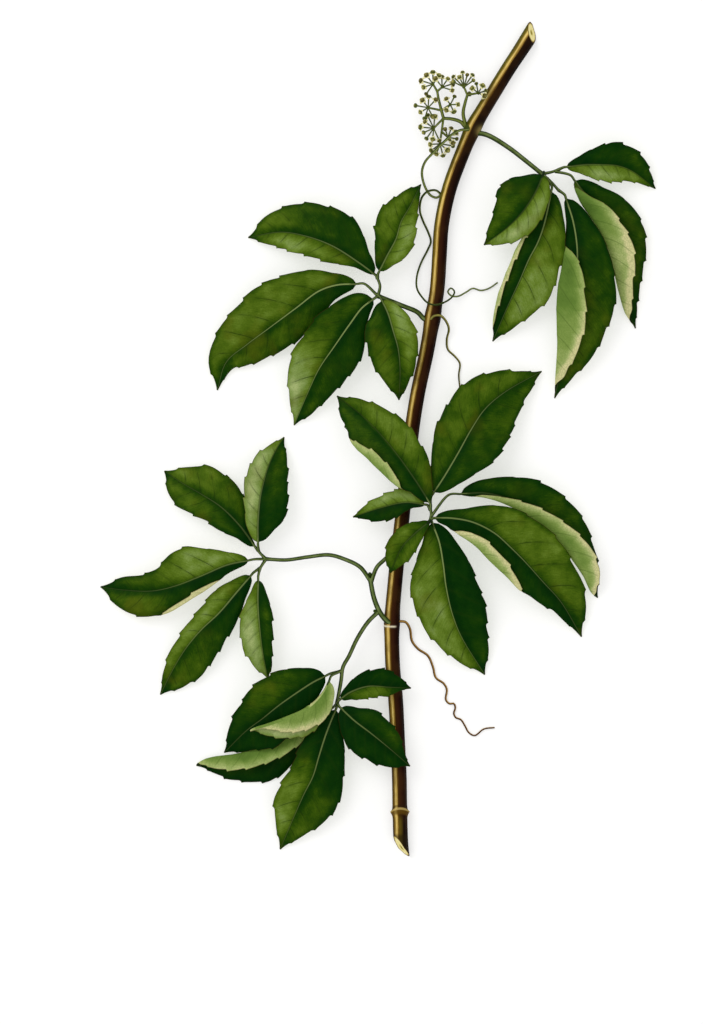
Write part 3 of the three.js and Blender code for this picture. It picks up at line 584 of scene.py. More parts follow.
def cut_stem(edit, place, direction, tilt):
    """Cuts the stem off by a tilted plane, and fills the cut with rings around a sunken pith."""
    radial = edit.verts.layers.float["radial"]
    tilt = math.radians(tilt)
    level = Vector((direction[0], -direction[1], 0)).normalized() * math.cos(tilt)
    facing = Vector((level.x, level.y, math.sin(tilt)))
    at = Vector((spot(place) + (0, 0, STEM_HEIGHT)) * METRES)
    whole = edit.verts[:] + edit.edges[:] + edit.faces[:]
    cut = bmesh.ops.bisect_plane(edit, geom=whole, dist=1e-7, plane_co=at, plane_no=facing, clear_outer=True)
    rim = [item for item in cut["geom_cut"] if isinstance(item, bmesh.types.BMEdge)]
    for vert in {v for edge in rim for v in edge.verts}:
        vert[radial] = 1
    caps = bmesh.ops.contextual_create(edit, geom=rim)["faces"]
    for share in CUT_RINGS:
        ring = bmesh.ops.inset_region(edit, faces=caps, thickness=0.00001, use_even_offset=False)["faces"]
        inside = set(caps[0].verts)
        centre = middle_of(caps[0])
        for vert in inside:
            beside = {edge.other_vert(vert) for edge in vert.link_edges} - inside
            outer = max(beside, key=lambda v: (v.co - centre).length)
            vert.co = centre + (outer.co - centre) * (share / outer[radial])
            vert[radial] = share
        for face in ring + caps:
            face.material_index = 1
    centre = middle_of(caps[0])
    fan = bmesh.ops.poke(edit, faces=caps)
    for vert in fan["verts"]:
        vert.co = centre - facing * (PITH_DEPTH * METRES)
        vert[radial] = 0
    for face in fan["faces"]:
        face.material_index = 1


def blunt_foot(edit):
    """Draws the foot's thin end in along the stem, so that it is blunt."""
    end = Vector(spot(FOOT_END) * METRES)
    down = Vector(spot(STEM_LINE[0]) - spot(STEM_LINE[1])).normalized()
    for vert in edit.verts:
        beyond = (vert.co - end).dot(down)
        if beyond > 0:
            vert.co -= down * beyond * FOOT_BLUNT


def stem_rows(path):
    """Places along the stem for its rings, closer at the collar and at the scar."""
    places = closer_rows(np.arange(0, path.length, STEM_STEP), COLLAR_AT, COLLAR_REACH, COLLAR_STEP)
    off = np.linalg.norm((path.at(places / path.length) - spot(SCAR))[:, :2], axis=1)
    return np.sort(closer_rows(places, places[np.argmin(off)], SCAR_REACH, SCAR_STEP))


def make_stem(materials):
    path = Path(on_sheet([(across, down, STEM_HEIGHT) for across, down in STEM_LINE]))
    places = stem_rows(path)[:, None]
    share = places[:, 0] / path.length
    centres = path.at(share)
    side = leftward(unit(path.at(np.minimum(share + 0.002, 1)) - path.at(np.maximum(share - 0.002, 0))))
    angle = (np.arange(STEM_SIDES)[None] + 0.5) / STEM_SIDES * 2 * np.pi
    turn, high = np.sin(angle), np.cos(angle)
    # Shallow ridges run the length of the stem and wander a little.
    drift = 0.25 * np.sin(places / 31) + 0.1 * np.sin(places / 9)
    ridges = (0.06 * np.sin(9 * (angle + drift)) + 0.04 * np.sin(17 * angle + 3 * drift)
              + 0.03 * np.sin(places / 5 + 3 * angle))
    # The collar's upper edge stands up as a thin arched lip.
    lip = places - COLLAR_AT - COLLAR_ARCH * high
    ridges = ridges + 0.28 * bell(lip, 0.45) - 0.16 * bell(lip - 1.3, 0.6)
    radius = stem_radius(centres)[:, None] + ridges
    points = centres[:, None] - side[:, None] * (turn * radius)[..., None]
    points[..., 2] = np.maximum(STEM_HEIGHT + high * radius, 0.0)
    # A pale scar crosses the front of the stem below the place where the side shoot leaves.
    scar = bell((centres - spot(SCAR))[:, 1:2] + 0.4 * high, 0.42)
    scar = scar * ease(-turn, -0.7, -0.3) * (high > -0.1)
    place, reach = PATCH
    patch = bell(np.linalg.norm(points - spot(place), axis=-1), reach)
    piece = Piece()
    wide = np.ones_like(radius)
    # The turn mark places each point around the stem; the bark look paints its highlight band and shade by
    # it.
    piece.add(points, ring_faces(*radius.shape), patch=patch, turn=turn * wide, along_mm=places * wide,
              lip=lip, scar=scar, radial=wide)
    stem = piece.make("Main_stem", materials, STEM_SHARP)
    edit = bmesh.new()
    edit.from_mesh(stem.data)
    for cut in (TOP_CUT, FOOT_CUT):
        cut_stem(edit, *cut)
    blunt_foot(edit)
    bmesh.ops.recalc_face_normals(edit, faces=edit.faces[:])
    edit.to_mesh(stem.data)
    edit.free()
    stem.data.set_sharp_from_angle(angle=math.radians(STEM_SHARP))
    return stem


def add_stalk_run(piece, points, radius, seat):
    """A leaf stalk: a tube that tapers, thicker where it leaves its seat and at its far joint."""
    path = Path(on_sheet(points))

    def radius_at(share):
        distance = share * path.length
        swollen = seat * bell(distance, SEAT_REACH)
        joint = 0.16 * radius * bell(path.length - distance, 1.6)
        return radius * (1 + (STALK_TAPER - 1) * share) + swollen + joint

    add_tube(piece, path, radius_at, *STALK_TUBE)


def add_leaflet_stalk(piece, start, spine):
    """A leaflet's own short stalk, which runs on into the midrib under the blade."""
    base = spine.at(0.0)
    back = -spine.along(0.0)
    start = spot(start)
    end = base + back * 0.35
    bend = end + back * 0.3 * np.linalg.norm(start - end)
    inside = spine.at(0.05) - (0, 0, 0.55)
    path = Path([start, bend, end + back * 0.3, base - (0, 0, 0.12), inside])

    def radius_at(share):
        return PETIOLULE_RADIUS * (1 - 0.35 * share) + 0.12 * bell(share * path.length, 1.2)

    add_tube(piece, path, radius_at, *PETIOLULE_TUBE)


def square_frame(axis):
    """An axis of length 1 and two directions square to it."""
    axis = unit(np.array(axis, float))
    side = unit(np.cross(axis, (0.3, 0.2, 0.93)))
    return axis, side, np.cross(axis, side)


def add_ball(piece, centre, axis, radius, lobes, stretch, rings=9, sides=16, look=0, hue=0.0):
    """A small ball with lengthwise lobes around an axis and a dimple at its far end."""
    axis, side, third = square_frame(axis)
    share = np.arange(rings + 1)[:, None, None] / rings
    polar = np.pi * (0.02 + 0.96 * share)
    turn = 2 * np.pi * np.arange(sides)[:, None] / sides
    out = radius * np.sin(polar) * (1 + 0.1 * np.sin(polar) * np.cos(lobes * turn))
    up = radius * stretch * np.cos(polar) * (1 - 0.16 * bell(polar, 0.55))
    points = centre + side * np.cos(turn) * out + third * np.sin(turn) * out + axis * up
    keep_above(points, LOWEST)
    faces = [face[::-1] for face in ring_faces(rings + 1, sides)]
    # A crest mark of 0.75 lifts the whole ball toward the painted highlight of a stalk's top, where it wears
    # a stalk look.
    piece.add(points, faces, look, share=np.repeat(share, sides), hue=hue, crest=0.75)


def add_petals(piece, centre, axis, radius, turn, look):
    """Small pointed petals that spread below the top of an open flower."""
    axis, side, third = square_frame(axis)
    t = np.linspace(0, 1, PETAL_ROWS)[:, None, None]
    across = np.array((-1, 0, 1))[:, None]
    half = 0.68 * radius * np.sin(np.pi * (0.2 + 0.8 * t) ** 0.9) + 0.02
    # The faces are reversed, because the columns run from right to left.
    faces = [face[:1] + face[:0:-1] for part in skin_faces(PETAL_ROWS, 3) for face in part]
    for k in range(PETAL_COUNT):
        angle = turn + 2 * math.pi * k / PETAL_COUNT
        out = side * math.cos(angle) + third * math.sin(angle)
        line = centre + out * radius * (0.6 + 1.05 * t) - axis * radius * (0.1 + 0.35 * t * t)
        top = line + np.cross(axis, out) * half * across + axis * 0.08 * (1 - abs(across))
        low = top - axis * PETAL_THICKNESS
        keep_above(top, 0.1)
        keep_above(low, LOWEST)
        piece.add(np.stack([top, low]), faces, look)


def seeded_numbers(seed):
    """The same even run of numbers as the part's source draws for its flower rays."""
    state = seed
    while True:
        state = (state * 1664525 + 1013904223) % 2**32
        yield state / 2**32


def ray_radius(share):
    return RAY_RADIUS * (1 + 0.35 * share**3)


def make_cluster(materials):
    piece = Piece()
    for radii, points in BRANCHES:
        add_tube(piece, Path(on_sheet(points)), taper(*radii), *BRANCH_TUBE)
    # A green knob where the cluster's stalks leave the main stem.
    knob, aim = CLUSTER_KNOB
    add_ball(piece, spot(knob), aim, radius=2.0, lobes=3, stretch=1.15, rings=12, sides=20)
    numbers = seeded_numbers(7)
    looks = np.random.default_rng(12)
    low, high = RAY_LENGTHS
    for start, at, facing, spread, rays, reach in UMBELS:
        start, at = spot(start), spot(at)
        bow = (start + at) / 2 + (0, 0, 0.4)
        add_tube(piece, Path([start, bow, at]), taper(*UMBEL_STALK_RADIUS), *UMBEL_TUBE)
        add_ball(piece, at, at - start, HUB_RADIUS, lobes=5, stretch=0.8)
        for k in range(rays):
            turn = math.radians(facing + spread * (k / (rays - 1) - 0.5))
            climb = math.radians(RAY_CLIMB[k % 2])
            length = reach * (low + (high - low) * next(numbers))
            level = math.cos(climb)
            out = np.array((math.cos(turn) * level, math.sin(turn) * level, math.sin(climb)))
            tip = at + out * length
            sag = at + out * length * 0.5 + (0, 0, 0.25)
            add_tube(piece, Path([at, sag, tip]), ray_radius, *RAY_TUBE)
            size = BUD_RADIUS * looks.uniform(*BUD_SIZES)
            is_open = looks.uniform() < OPEN_SHARE
            hue = looks.uniform()
            add_ball(piece, tip, out + (0, 0, 0.35), size, lobes=4, stretch=0.95, look=1, hue=hue)
            if is_open:
                add_petals(piece, tip, out + (0, 0, 0.8), size, looks.uniform(0, 1.5), look=2)
    return piece.make("Flower_cluster", materials, CLUSTER_SHARP)


def colour(text):
    """A screen colour such as #2c4f16 as linear light."""
    parts = [int(text[i:i + 2], 16) / 255 for i in (1, 3, 5)]
    return tuple(p / 12.92 if p <= 0.04045 else ((p + 0.055) / 1.055) ** 2.4 for p in parts) + (1.0,)


class Value:
    """A node's output in a look. Sums, products and mappings of it add further nodes."""

    def __init__(self, look, socket):
        self.look = look
        self.socket = socket

    def __add__(self, other):
        return self.look.math("ADD", self, other)

    def __sub__(self, other):
        return self.look.math("SUBTRACT", self, other)

    def __mul__(self, other):
        return self.look.math("MULTIPLY", self, other)

    def __abs__(self):
        return self.look.math("ABSOLUTE", self)

    def run(self, low, high, start=0.0, end=1.0):
        """Mapped smoothly from low..high to start..end, level beyond."""
        parts = {"Value": self, "From Min": low, "From Max": high, "To Min": start, "To Max": end}
        return self.look.add("ShaderNodeMapRange", parts, interpolation_type="SMOOTHSTEP")

    def line(self, width, soft):
        """1 within width of a line and 0 beyond it, for a distance from that line."""
        return self.run(width, width + soft, 1.0, 0.0)


class Look:
    """A material made by short calls: a base colour, colours laid over it, and a relief."""

    def __init__(self, name, roughness, specular):
        self.material = bpy.data.materials.new(name)
        self.material.use_nodes = True
        self.tree = self.material.node_tree
        self.tree.nodes.clear()
        surface = {"Roughness": roughness, "Specular IOR Level": specular}
        self.shader = self.node("ShaderNodeBsdfPrincipled", surface)
        output = self.node("ShaderNodeOutputMaterial", {})
        self.tree.links.new(self.shader.outputs[0], output.inputs["Surface"])
        self.base = None

    def node(self, kind, inputs, **settings):
        made = self.tree.nodes.new(kind)
        for key, value in settings.items():
            setattr(made, key, value)
        for key, value in inputs.items():
            self.put(made.inputs[key], value)
        return made

    def add(self, kind, inputs, output=0, **settings):
        return Value(self, self.node(kind, inputs, **settings).outputs[output])

    def put(self, socket, value):
        if isinstance(value, Value):
            self.tree.links.new(value.socket, socket)
        elif isinstance(value, str):
            socket.default_value = colour(value)
        else:
            socket.default_value = value

    def math(self, operation, *values):
        return self.add("ShaderNodeMath", dict(enumerate(values)), operation=operation)

    def mark(self, name):
        return self.add("ShaderNodeAttribute", {}, "Fac", attribute_name=name)

    def vector(self, x, y):
        return self.add("ShaderNodeCombineXYZ", {0: x, 1: y})

    def place_mm(self):
        """Object position in millimetres."""
        place = self.add("ShaderNodeTexCoord", {}, "Object")
        return self.add("ShaderNodeVectorMath", {0: place, "Scale": 1 / METRES}, operation="SCALE")

    def noise(self, place, scale, detail, rough=0.5):
        parts = {"Vector": place, "Scale": scale, "Detail": detail, "Roughness": rough}
        return self.add("ShaderNodeTexNoise", parts, "Fac")

    def ramp(self, value, *stops):
        """Sets the base colour: the stops' colours, read by a value."""
        made = self.node("ShaderNodeValToRGB", {0: value})
        points = made.color_ramp.elements
        while len(points) < len(stops):
            points.new(0.5)
        for point, (place, _) in zip(points, stops):
            point.position = place
        for point, (_, text) in zip(points, stops):
            point.color = colour(text)
        self.base = Value(self, made.outputs["Color"])

    def cover(self, share, text):
        """Lays a colour over the base, by a share from 0 to 1."""
        self.base = self.add("ShaderNodeMix", {0: share, 6: self.base, 7: text}, 2, data_type="RGBA")

    def finish(self, height=None, strength=0.0, depth_mm=0.0):
        """The material, with its base colour and a relief of the given height on it."""
        self.put(self.shader.inputs["Base Color"], self.base)
        if height:
            parts = {"Strength": strength, "Distance": depth_mm * METRES, "Height": height}
            self.put(self.shader.inputs["Normal"], self.add("ShaderNodeBump", parts))
        return self.material


def uneven(tone, *patterns):
    """A tone made uneven by patterns around 0.5, each with its weight."""
    for pattern, weight in patterns:
        tone = tone + (pattern - 0.5) * weight
    return tone


def leaf_parts(look):
    """The distances and patterns that both faces of a blade share."""
    place = look.place_mm()
    across = abs(look.mark("across_mm"))
    vein = look.mark("vein")
    near = abs(look.math("FRACT", vein + 0.5) - 0.5)
    near = abs(uneven(near, (look.noise(place, 0.35, 3), 0.035)))
    return SimpleNamespace(
        place=place, across=across, near=near, edge=look.mark("edge_mm"), rib_light=look.mark("rib_light"),
        streaks=look.noise(look.vector(vein * 22.0, across * 0.35), 1.0, 3),
        cells=look.add("ShaderNodeTexVoronoi", {"Vector": place, "Scale": 0.75}, feature="DISTANCE_TO_EDGE"),
        cloud=look.noise(place, 0.12, 3), grain=look.noise(place, 2.2, 4, 0.65),
    )


def upper_look():
    look = Look("leaf_upper", 0.5, 0.03)
    part = leaf_parts(look)
    # The tone mark is each half's painted light and shade.
    half = look.mark("tone")
    # Painted shade: each half is darker along the rib and at the margin than in the middle.
    tone = half + (part.across.run(0.0, 5.0, -0.13, 0.05) + part.edge.run(0.0, 3.5, -0.12, 0.03))
    tone = uneven(tone, (part.cloud, 0.42), (part.streaks, 0.2), (part.grain, 0.2))
    look.ramp(tone, (0.06, "#002400"), (0.2, "#072d00"), (0.32, "#183800"), (0.44, "#324d03"),
              (0.56, "#4a6210"), (0.68, "#617928"), (0.81, "#7a8f4c"), (0.97, "#a2b072"))
    # Warm olive-brown patches here and there.
    warm = look.noise(part.place, 0.07, 2).run(0.52, 0.72)
    look.cover(warm * half.run(0.15, 0.4, 0.0, 0.4), "#4f5408")
    # Side veins: dark fine lines that thin out toward the margin.
    fade = part.edge.run(0.5, 5.0, 0.15, 1.0)
    # The strokes stop short of the margin, and some stretches are missing.
    lit = half.run(0.15, 0.5, 0.3, 1.0) * look.mark("reach").run(0.55, 0.95, 1.0, 0.0)
    lit = lit * look.noise(part.place, 0.16, 2).run(0.38, 0.5, 0.15, 1.0)
    side_vein = part.near.line(0.008, 0.022) * (fade * lit)
    look.cover(side_vein * 0.64, "#122702")
    # Painted shade in a broad furrow along each side vein.
    look.cover(part.near.line(0.0, 0.2) * fade * 0.2, "#1a3302")
    look.cover(part.cells.line(0.0, 0.12) * 0.14, "#152c06")
    # Midrib: a pale thin line between two dark ones.
    along = look.mark("along")
    rib_width = along.run(0.0, 1.0, 0.3, 0.04)
    look.cover(part.across.line(rib_width + 0.1, 0.6) * 0.55, "#102402")
    rib = part.across.line(rib_width, 0.15) * along.run(0.2, 0.9, 0.85, 0.3)
    look.cover(rib * part.rib_light, "#8a9c5c")
    # A thin brown line around the margin, and a brown tip on each tooth.
    look.cover(part.edge.line(0.1, 0.35) * 0.75, "#2a1c06")
    look.cover(look.mark("point").run(0.2, 0.9), "#2a1604")
    return look.finish(part.grain * 0.5 - side_vein, 0.5, 0.12)


def under_look():
    look = Look("leaf_under", 0.65, 0.08)
    part = leaf_parts(look)
    tone = look.mark("pale") + part.edge.run(0.0, 6.5, 0.42, -0.12)
    tone = uneven(tone, (part.cloud, 0.5), (part.streaks, 0.3), (part.grain, 0.2))
    look.ramp(tone, (0.0, "#435f1d"), (0.3, "#5b772d"), (0.55, "#788e44"), (0.8, "#9ba966"), (1.0, "#c6c28c"))
    side_vein = part.near.line(0.015, 0.03) * part.edge.run(0.3, 4.0, 0.3, 1.0)
    look.cover(side_vein * 0.42, "#435c1c")
    look.cover(part.cells.line(0.0, 0.14) * 0.3, "#53702b")
    rib = part.across.line(0.45, 0.3) * part.rib_light.run(0.0, 0.1)
    look.cover(rib * 0.8, "#a3ad6c")
    look.cover(part.edge.line(0.1, 0.25) * 0.6, "#57461f")
    return look.finish(part.grain * 0.5 + side_vein, 0.5, 0.15)


def bark_look():
    look = Look("stem_bark", 0.5, 0.03)
    turn = look.mark("turn")
    along = look.mark("along_mm")
    lip = look.mark("lip")
    streak = look.noise(look.vector(turn * 9.0, along * 0.035), 1.4, 5, 0.6)
    fine = look.noise(look.vector(turn * 34.0, along * 0.12), 1.0, 3, 0.6)
    # seen runs around the stem from its left flank to its right one; the ramp on it paints a pale highlight
    # band on the left flank and shade, near black, on the right side.
    seen = uneven(turn, (streak, 0.46), (fine, 0.4)) * 0.5 + 0.5
    # The lit band is a little wider on the young upper end.
    seen = seen * along.run(*YOUNG_LIT, 1.0, 0.88)
    look.ramp(seen, (0.0, "#2c1e06"), (0.09, "#564008"), (0.17, "#86691f"), (0.24, "#dcc172"),
              (0.3, "#c3a453"), (0.37, "#6a4a12"), (0.44, "#341b04"), (0.6, "#2e1407"),
              (0.78, "#1b0601"), (1.0, "#0e0401"))
    # Painted shade: the shaded side is nearly black on both ends, and olive in the middle below the collar.
    ends = look.math("MAXIMUM", along.run(*YOUNG_DEEP_SHADE, 0.0, 0.75), along.run(*BELOW_COLLAR, 0.75, 0.0))
    look.cover(ends * seen.run(0.36, 0.46), "#0d0703")
    centre = seen.run(0.36, 0.42) * seen.run(0.5, 0.75, 1.0, 0.0)
    look.cover(centre * along.run(*BELOW_COLLAR, 0.8, 0.0), "#5a4a10")
    # The lit flank is greener on the young upper end.
    look.cover(along.run(*YOUNG_GREEN, 0.0, 0.65) * seen.run(0.12, 0.24, 1.0, 0.0), "#4f520c")
    # Darker brown blotches here and there.
    look.cover(look.noise(look.place_mm(), 0.09, 3).run(0.42, 0.7, 0.0, 0.45), "#3a240b")
    # A tan patch where the highest leaf stalk grows out.
    look.cover(look.mark("patch") * 0.85, "#93824a")
    # The bark is darkest just above the foot's cut.
    look.cover(along.run(*FOOT_DARK, 0.7, 0.0), "#1e1506")
    # The collar: a painted shadow in brown below its pale arched lip, and a shaded line above it.
    look.cover(lip.run(-3.6, -2.0) * lip.run(-0.7, 0.0, 1.0, 0.0) * 0.8, "#553d0a")
    look.cover(abs(lip).line(0.25, 0.6) * 0.75, "#b39c5c")
    look.cover(abs(lip - 1.4).line(0.3, 0.7) * 0.6, "#2a1b08")
    # The pale scar.
    look.cover(look.mark("scar") * 0.95, "#e2d8ba")
    return look.finish(fine * 0.6 + streak * 0.6, 0.6, 0.3)


def cut_look():
    look = Look("stem_cut", 0.8, 0.15)
    grain = look.noise(look.place_mm(), 1.6, 4, 0.6)
    seen = uneven(look.mark("radial"), (grain, 0.22))
    look.ramp(seen, (0.0, "#5f5a12"), (0.2, "#a3943a"), (0.32, "#e0d48e"), (0.7, "#e6dc9c"),
              (0.82, "#cdb766"), (0.9, "#5c4412"), (1.0, "#2a1a0b"))
    return look.finish(grain, 0.6, 0.3)


def stalk_look(name, low, middle, high):
    """A stalk with painted light and shade: painted shade on its flanks and underside, one flank lighter than
    the other, and a streaky painted highlight along the top crest.
    """
    look = Look(name, 0.5, 0.1)
    streak = look.noise(look.vector(look.mark("side_mm") * 3.0, look.mark("along_mm") * 0.15), 1.0, 3)
    cloud = look.noise(look.place_mm(), 0.25, 3)
    # Painted light and shade: one flank lighter than the other, and the crest lighter than the flanks.
    left = look.mark("flank").run(-0.9, 0.9, 0.12, -0.12)
    crest = look.mark("crest").run(0.45, 1.0, -0.2, 0.3)
    look.ramp(streak * 0.3 + cloud * 0.35 + left + crest, (0.22, low), (0.52, middle), (0.9, high))
    return look.finish(streak, 0.4, 0.15)


def bud_look():
    look = Look("flower_bud", 0.5, 0.1)
    grain = look.noise(look.place_mm(), 2.5, 3)
    seen = uneven(look.mark("share"), (grain, 0.5))
    look.ramp(seen, (0.0, "#a7a15e"), (0.22, "#6a6a2a"), (0.45, "#38440f"), (0.75, "#66752e"),
              (1.0, "#a0a862"))
    look.cover(look.mark("hue").run(0.5, 0.95, 0.0, 0.6), "#4a3a10")
    return look.finish(grain, 0.5, 0.15)


def petal_look():
    look = Look("flower_petal", 0.6, 0.2)
    grain = look.noise(look.place_mm(), 2.0, 3)
    look.ramp(grain, (0.3, "#b9b36a"), (0.5, "#d6d196"), (0.75, "#efebc4"))
    return look.finish(grain, 0.3, 0.1)


def floor_look():
    look = Look("pale_ground", 0.9, 0.05)
    look.ramp(look.noise(look.place_mm(), 0.02, 3), (0.3, "#bebebd"), (0.7, "#c1c1c0"))
    # The ground is a lit sheet, so shadows on it stay pale.
    look.put(look.shader.inputs["Emission Color"], "#ffffff")
    look.put(look.shader.inputs["Emission Strength"], 0.5)
    return look.finish()


# Leaflets: the rib from base to tip, half-widths of the left and the right half in mm at each eighth of it,
# heights of its base, arch and tip, lift of each half in degrees, teeth to a side, how light each half is
# from base to tip in painted light and shade, how pale the rib is, how light the underside is, and a
# turned-over margin
LEAFLETS = {}


def leaflet(leaf, number, rib, left, right, **rest):
    LEAFLETS[f"leaf_{leaf}_leaflet_{number}"] = dict(rib=rib, left=left, right=right, **rest)


leaflet("a", 1, [(374, 274), (359, 263), (332, 246), (305, 236), (280, 232), (248, 237)],
        [3, 7, 9, 9.5, 9.5, 8, 4.5], [7, 13.5, 17, 17.5, 16.5, 13.5, 8], rise=(10, 5, 0.8), lift=(14, 6),
        teeth=5, tone=((0.35, 0.5, 0.66, 0.5), (0.2, 0.28, 0.5)), rib_light=0.4)
leaflet("a", 2, [(379.5, 271), (387, 256), (396, 239), (401, 222), (409, 208), (421, 184)],
        [6, 9.5, 12, 12, 11, 8.5, 5], [5, 8.5, 9, 9, 7.5, 5, 2.5], rise=(10.5, 3, 4), lift=(12, 12),
        teeth=4, tone=((0.3, 0.45, 0.45), (0.6, 0.66, 0.5)), rib_light=0.4)
leaflet("a", 3, [(356, 284), (337, 285), (319, 291), (296, 308), (269, 328), (246, 345), (226, 362),
        (217, 390)], [7, 11.5, 13.5, 13.5, 11.5, 8, 3.5], [6.5, 13, 18, 20, 19, 16, 8.5], rise=(9, 2, 0.6),
        lift=(0, 12), teeth=6, tone=((0.2, 0.33, 0.42), (0.45, 0.49, 0.44)), rib_light=0.85)
leaflet("a", 4, [(373, 299.5), (362, 308), (350, 324), (334, 347), (319, 369), (309, 390), (294, 425)],
        [6.5, 12, 14.5, 14.5, 13, 10, 6], [10, 14.2, 16.3, 16, 15, 12, 6.5], rise=(10, 6, 0.6),
        lift=(2, 14), teeth=5, tone=((0.12, 0.22, 0.32), (0.28, 0.32, 0.7, 0.93)), rib_light=0.85)
leaflet("a", 5, [(382, 301), (388, 314), (393, 331), (398, 349), (400, 371), (399, 400)],
        [7.2, 10.6, 11, 9.5, 8, 5.6, 3.2], [9.2, 13.4, 15, 15, 14, 11, 6], rise=(11.5, 7, 6), lift=(12, 12),
        teeth=4, tone=((0.75, 0.55, 0.35), (0.22, 0.36, 0.45)), rib_light=0.45)
leaflet("b", 1, [(567, 167), (585, 165), (603, 165), (618, 166), (632, 171), (656, 188)],
        [4.5, 8, 10.5, 11.5, 10.5, 7.5, 4], [4, 6.5, 8, 8.5, 7.5, 5, 2.5], rise=(9.5, 4, 1), lift=(8, 14),
        teeth=5, tone=((0.15, 0.2, 0.32), (0.66, 0.68, 0.58)), rib_light=0.15)
leaflet("b", 2, [(575, 181), (588, 198), (602, 220), (613, 248), (620, 280), (627, 306), (636, 328)],
        [9.5, 16, 17.6, 16.2, 12.6, 8.9, 4.8], [4, 4, 3, 2, 1.5, 1.5, 1], rise=(8, 0, 0.6), lift=(6, 4),
        teeth=6, tone=((0.2, 0.28, 0.25), (0.6, 0.4, 0.3)), rib_light=0.2, under=(-0.25, 0.8, 0.7),
        curl=dict(side="right", start=0.01, end=0.98, flap=[4.4, 9.6, 10.8, 11.8, 10.5, 7, 3.6],
        ease=(0.04, 0.1)))
leaflet("b", 3, [(566, 199), (573, 222), (577, 250), (576, 285), (570, 325), (562, 365), (555, 398)],
        [9.5, 15.5, 19.5, 20.5, 18, 13.5, 6.5], [3.6, 6, 7.8, 8.5, 7, 4, 2], rise=(9.5, 6, 1), lift=(7, 6),
        teeth=6, tone=((0.12, 0.3, 0.4), (0.12, 0.12, 0.12)), rib_light=0.7, under=(0, 0.38, 0.92),
        curl=dict(side="right", start=0.2, end=0.98, flap=[0, 1, 9.3, 13.2, 13.9, 10, 4.2]))
leaflet("b", 4, [(551, 192), (549, 203), (543, 228), (537, 244), (529, 259), (519, 282), (507, 308),
        (493, 341)], [8.5, 13.2, 15.8, 17, 16, 12, 6.5], [4, 6.5, 7.5, 7.5, 7, 6, 3.5], rise=(11, 8, 1),
        lift=(4, 6), teeth=5, tone=((0.3, 0.46, 0.6, 0.62, 0.4), (0.15, 0.18, 0.2)), rib_light=0.6,
        under=(0.5, 0.5, 0.5),
        curl=dict(side="right", start=0.12, end=0.97, fold=0.5, flap=[0.5, 1, 1.3, 1.3, 1.2, 1.3, 0.6]))
leaflet("b", 5, [(542.5, 175.5), (538, 187), (531, 200), (521, 214), (507, 228), (484, 245)],
        [6.4, 8.6, 10, 10, 9, 6.8, 3.8], [11, 15, 16.5, 16.3, 13.6, 9.8, 5.5], rise=(14, 9, 9),
        lift=(12, 4), teeth=4, tone=((0.6, 0.72, 0.78), (0.18, 0.32, 0.42)), rib_light=0.1)
leaflet("c", 1, [(429, 502), (415, 480), (398, 456), (380, 434), (360, 414), (337, 396)],
        [5.5, 8, 9.5, 10.5, 11, 10.5, 7.5], [6.5, 11, 12.5, 14, 12.5, 9.5, 5.5], rise=(20.5, 3, 8),
        lift=(4, 12), teeth=5, tone=((0.15, 0.26, 0.35), (0.3, 0.52, 0.5)), rib_light=0.1,
        under=(0.4, 0.45, 0.4),
        curl=dict(side="left", start=0.12, end=0.76, fold=2.2, flap=[0, 2.8, 4.4, 3.9, 1.8, 0.2, 0]))
leaflet("c", 2, [(434, 492), (445, 475), (458, 453), (472, 428), (485, 409), (505, 392), (542, 371)],
        [9, 14, 16.5, 17, 15.5, 11, 5], [8, 13.5, 17.5, 18.5, 17.5, 13.5, 7], rise=(18.5, 2, 1.5),
        lift=(8, 8), teeth=6, tone=((0.3, 0.4, 0.45), (0.25, 0.28, 0.36)), rib_light=0.6)
leaflet("c", 3, [(461, 494), (485, 493), (512, 500), (540, 514), (564, 537), (582, 565), (598, 598)],
        [7.5, 12, 14, 14, 12.5, 9.5, 6], [2, 2.8, 3.6, 4, 3.6, 2.6, 1.4], rise=(14, 1, 0.6), lift=(4, 2),
        teeth=6, tone=((0.2, 0.25, 0.25), (0.2, 0.2, 0.2)), rib_light=0.1, under=(0.35, 0.45, 0.68),
        curl=dict(side="right", start=0.02, end=0.995, flap=[0.8, 2.5, 4.8, 7, 9.4, 10.6, 8],
        ease=(0.1, 0.03)))
leaflet("c", 4, [(435, 518), (450, 518), (472, 522), (494, 533), (512, 549), (525, 562), (543, 582),
        (561, 602), (582, 637)], [5.5, 13, 18.5, 20, 19, 15, 9], [6, 9, 10.5, 10.5, 10.5, 8.5, 4.5],
        rise=(19, 6, 0.6), lift=(2, 2), teeth=5, tone=((0.3, 0.5, 0.35), (0.1, 0.15, 0.2)), rib_light=0.55,
        under=(0.6, 0.65, 0.5),
        curl=dict(side="right", start=0.06, end=0.7, fold=1, flap=[1.4, 4.6, 5.8, 4.6, 1.6, 0, 0]))
leaflet("c", 5, [(432, 523), (439, 542), (443, 564), (446, 587), (452, 613), (461, 636), (485, 675)],
        [8, 13, 15.5, 17.5, 16.5, 13, 8], [9, 14, 17, 17.5, 15.5, 12, 7], rise=(17.5, 3, 0.6), lift=(8, 4),
        teeth=6, tone=((0.03, 0.08, 0.25), (0.4, 0.6, 0.55)), rib_light=0.75)
leaflet("c", 6, [(428.5, 522), (415, 533), (402, 547), (390, 573)], [3, 5, 6, 7, 6.5, 5, 2.5],
        [3.5, 6, 7, 7.5, 7.5, 6.5, 4], rise=(20.5, 1, 15), lift=(14, 14), teeth=3,
        tone=((0.5, 0.5, 0.5), (0.5, 0.52, 0.5)), rib_light=0.1)
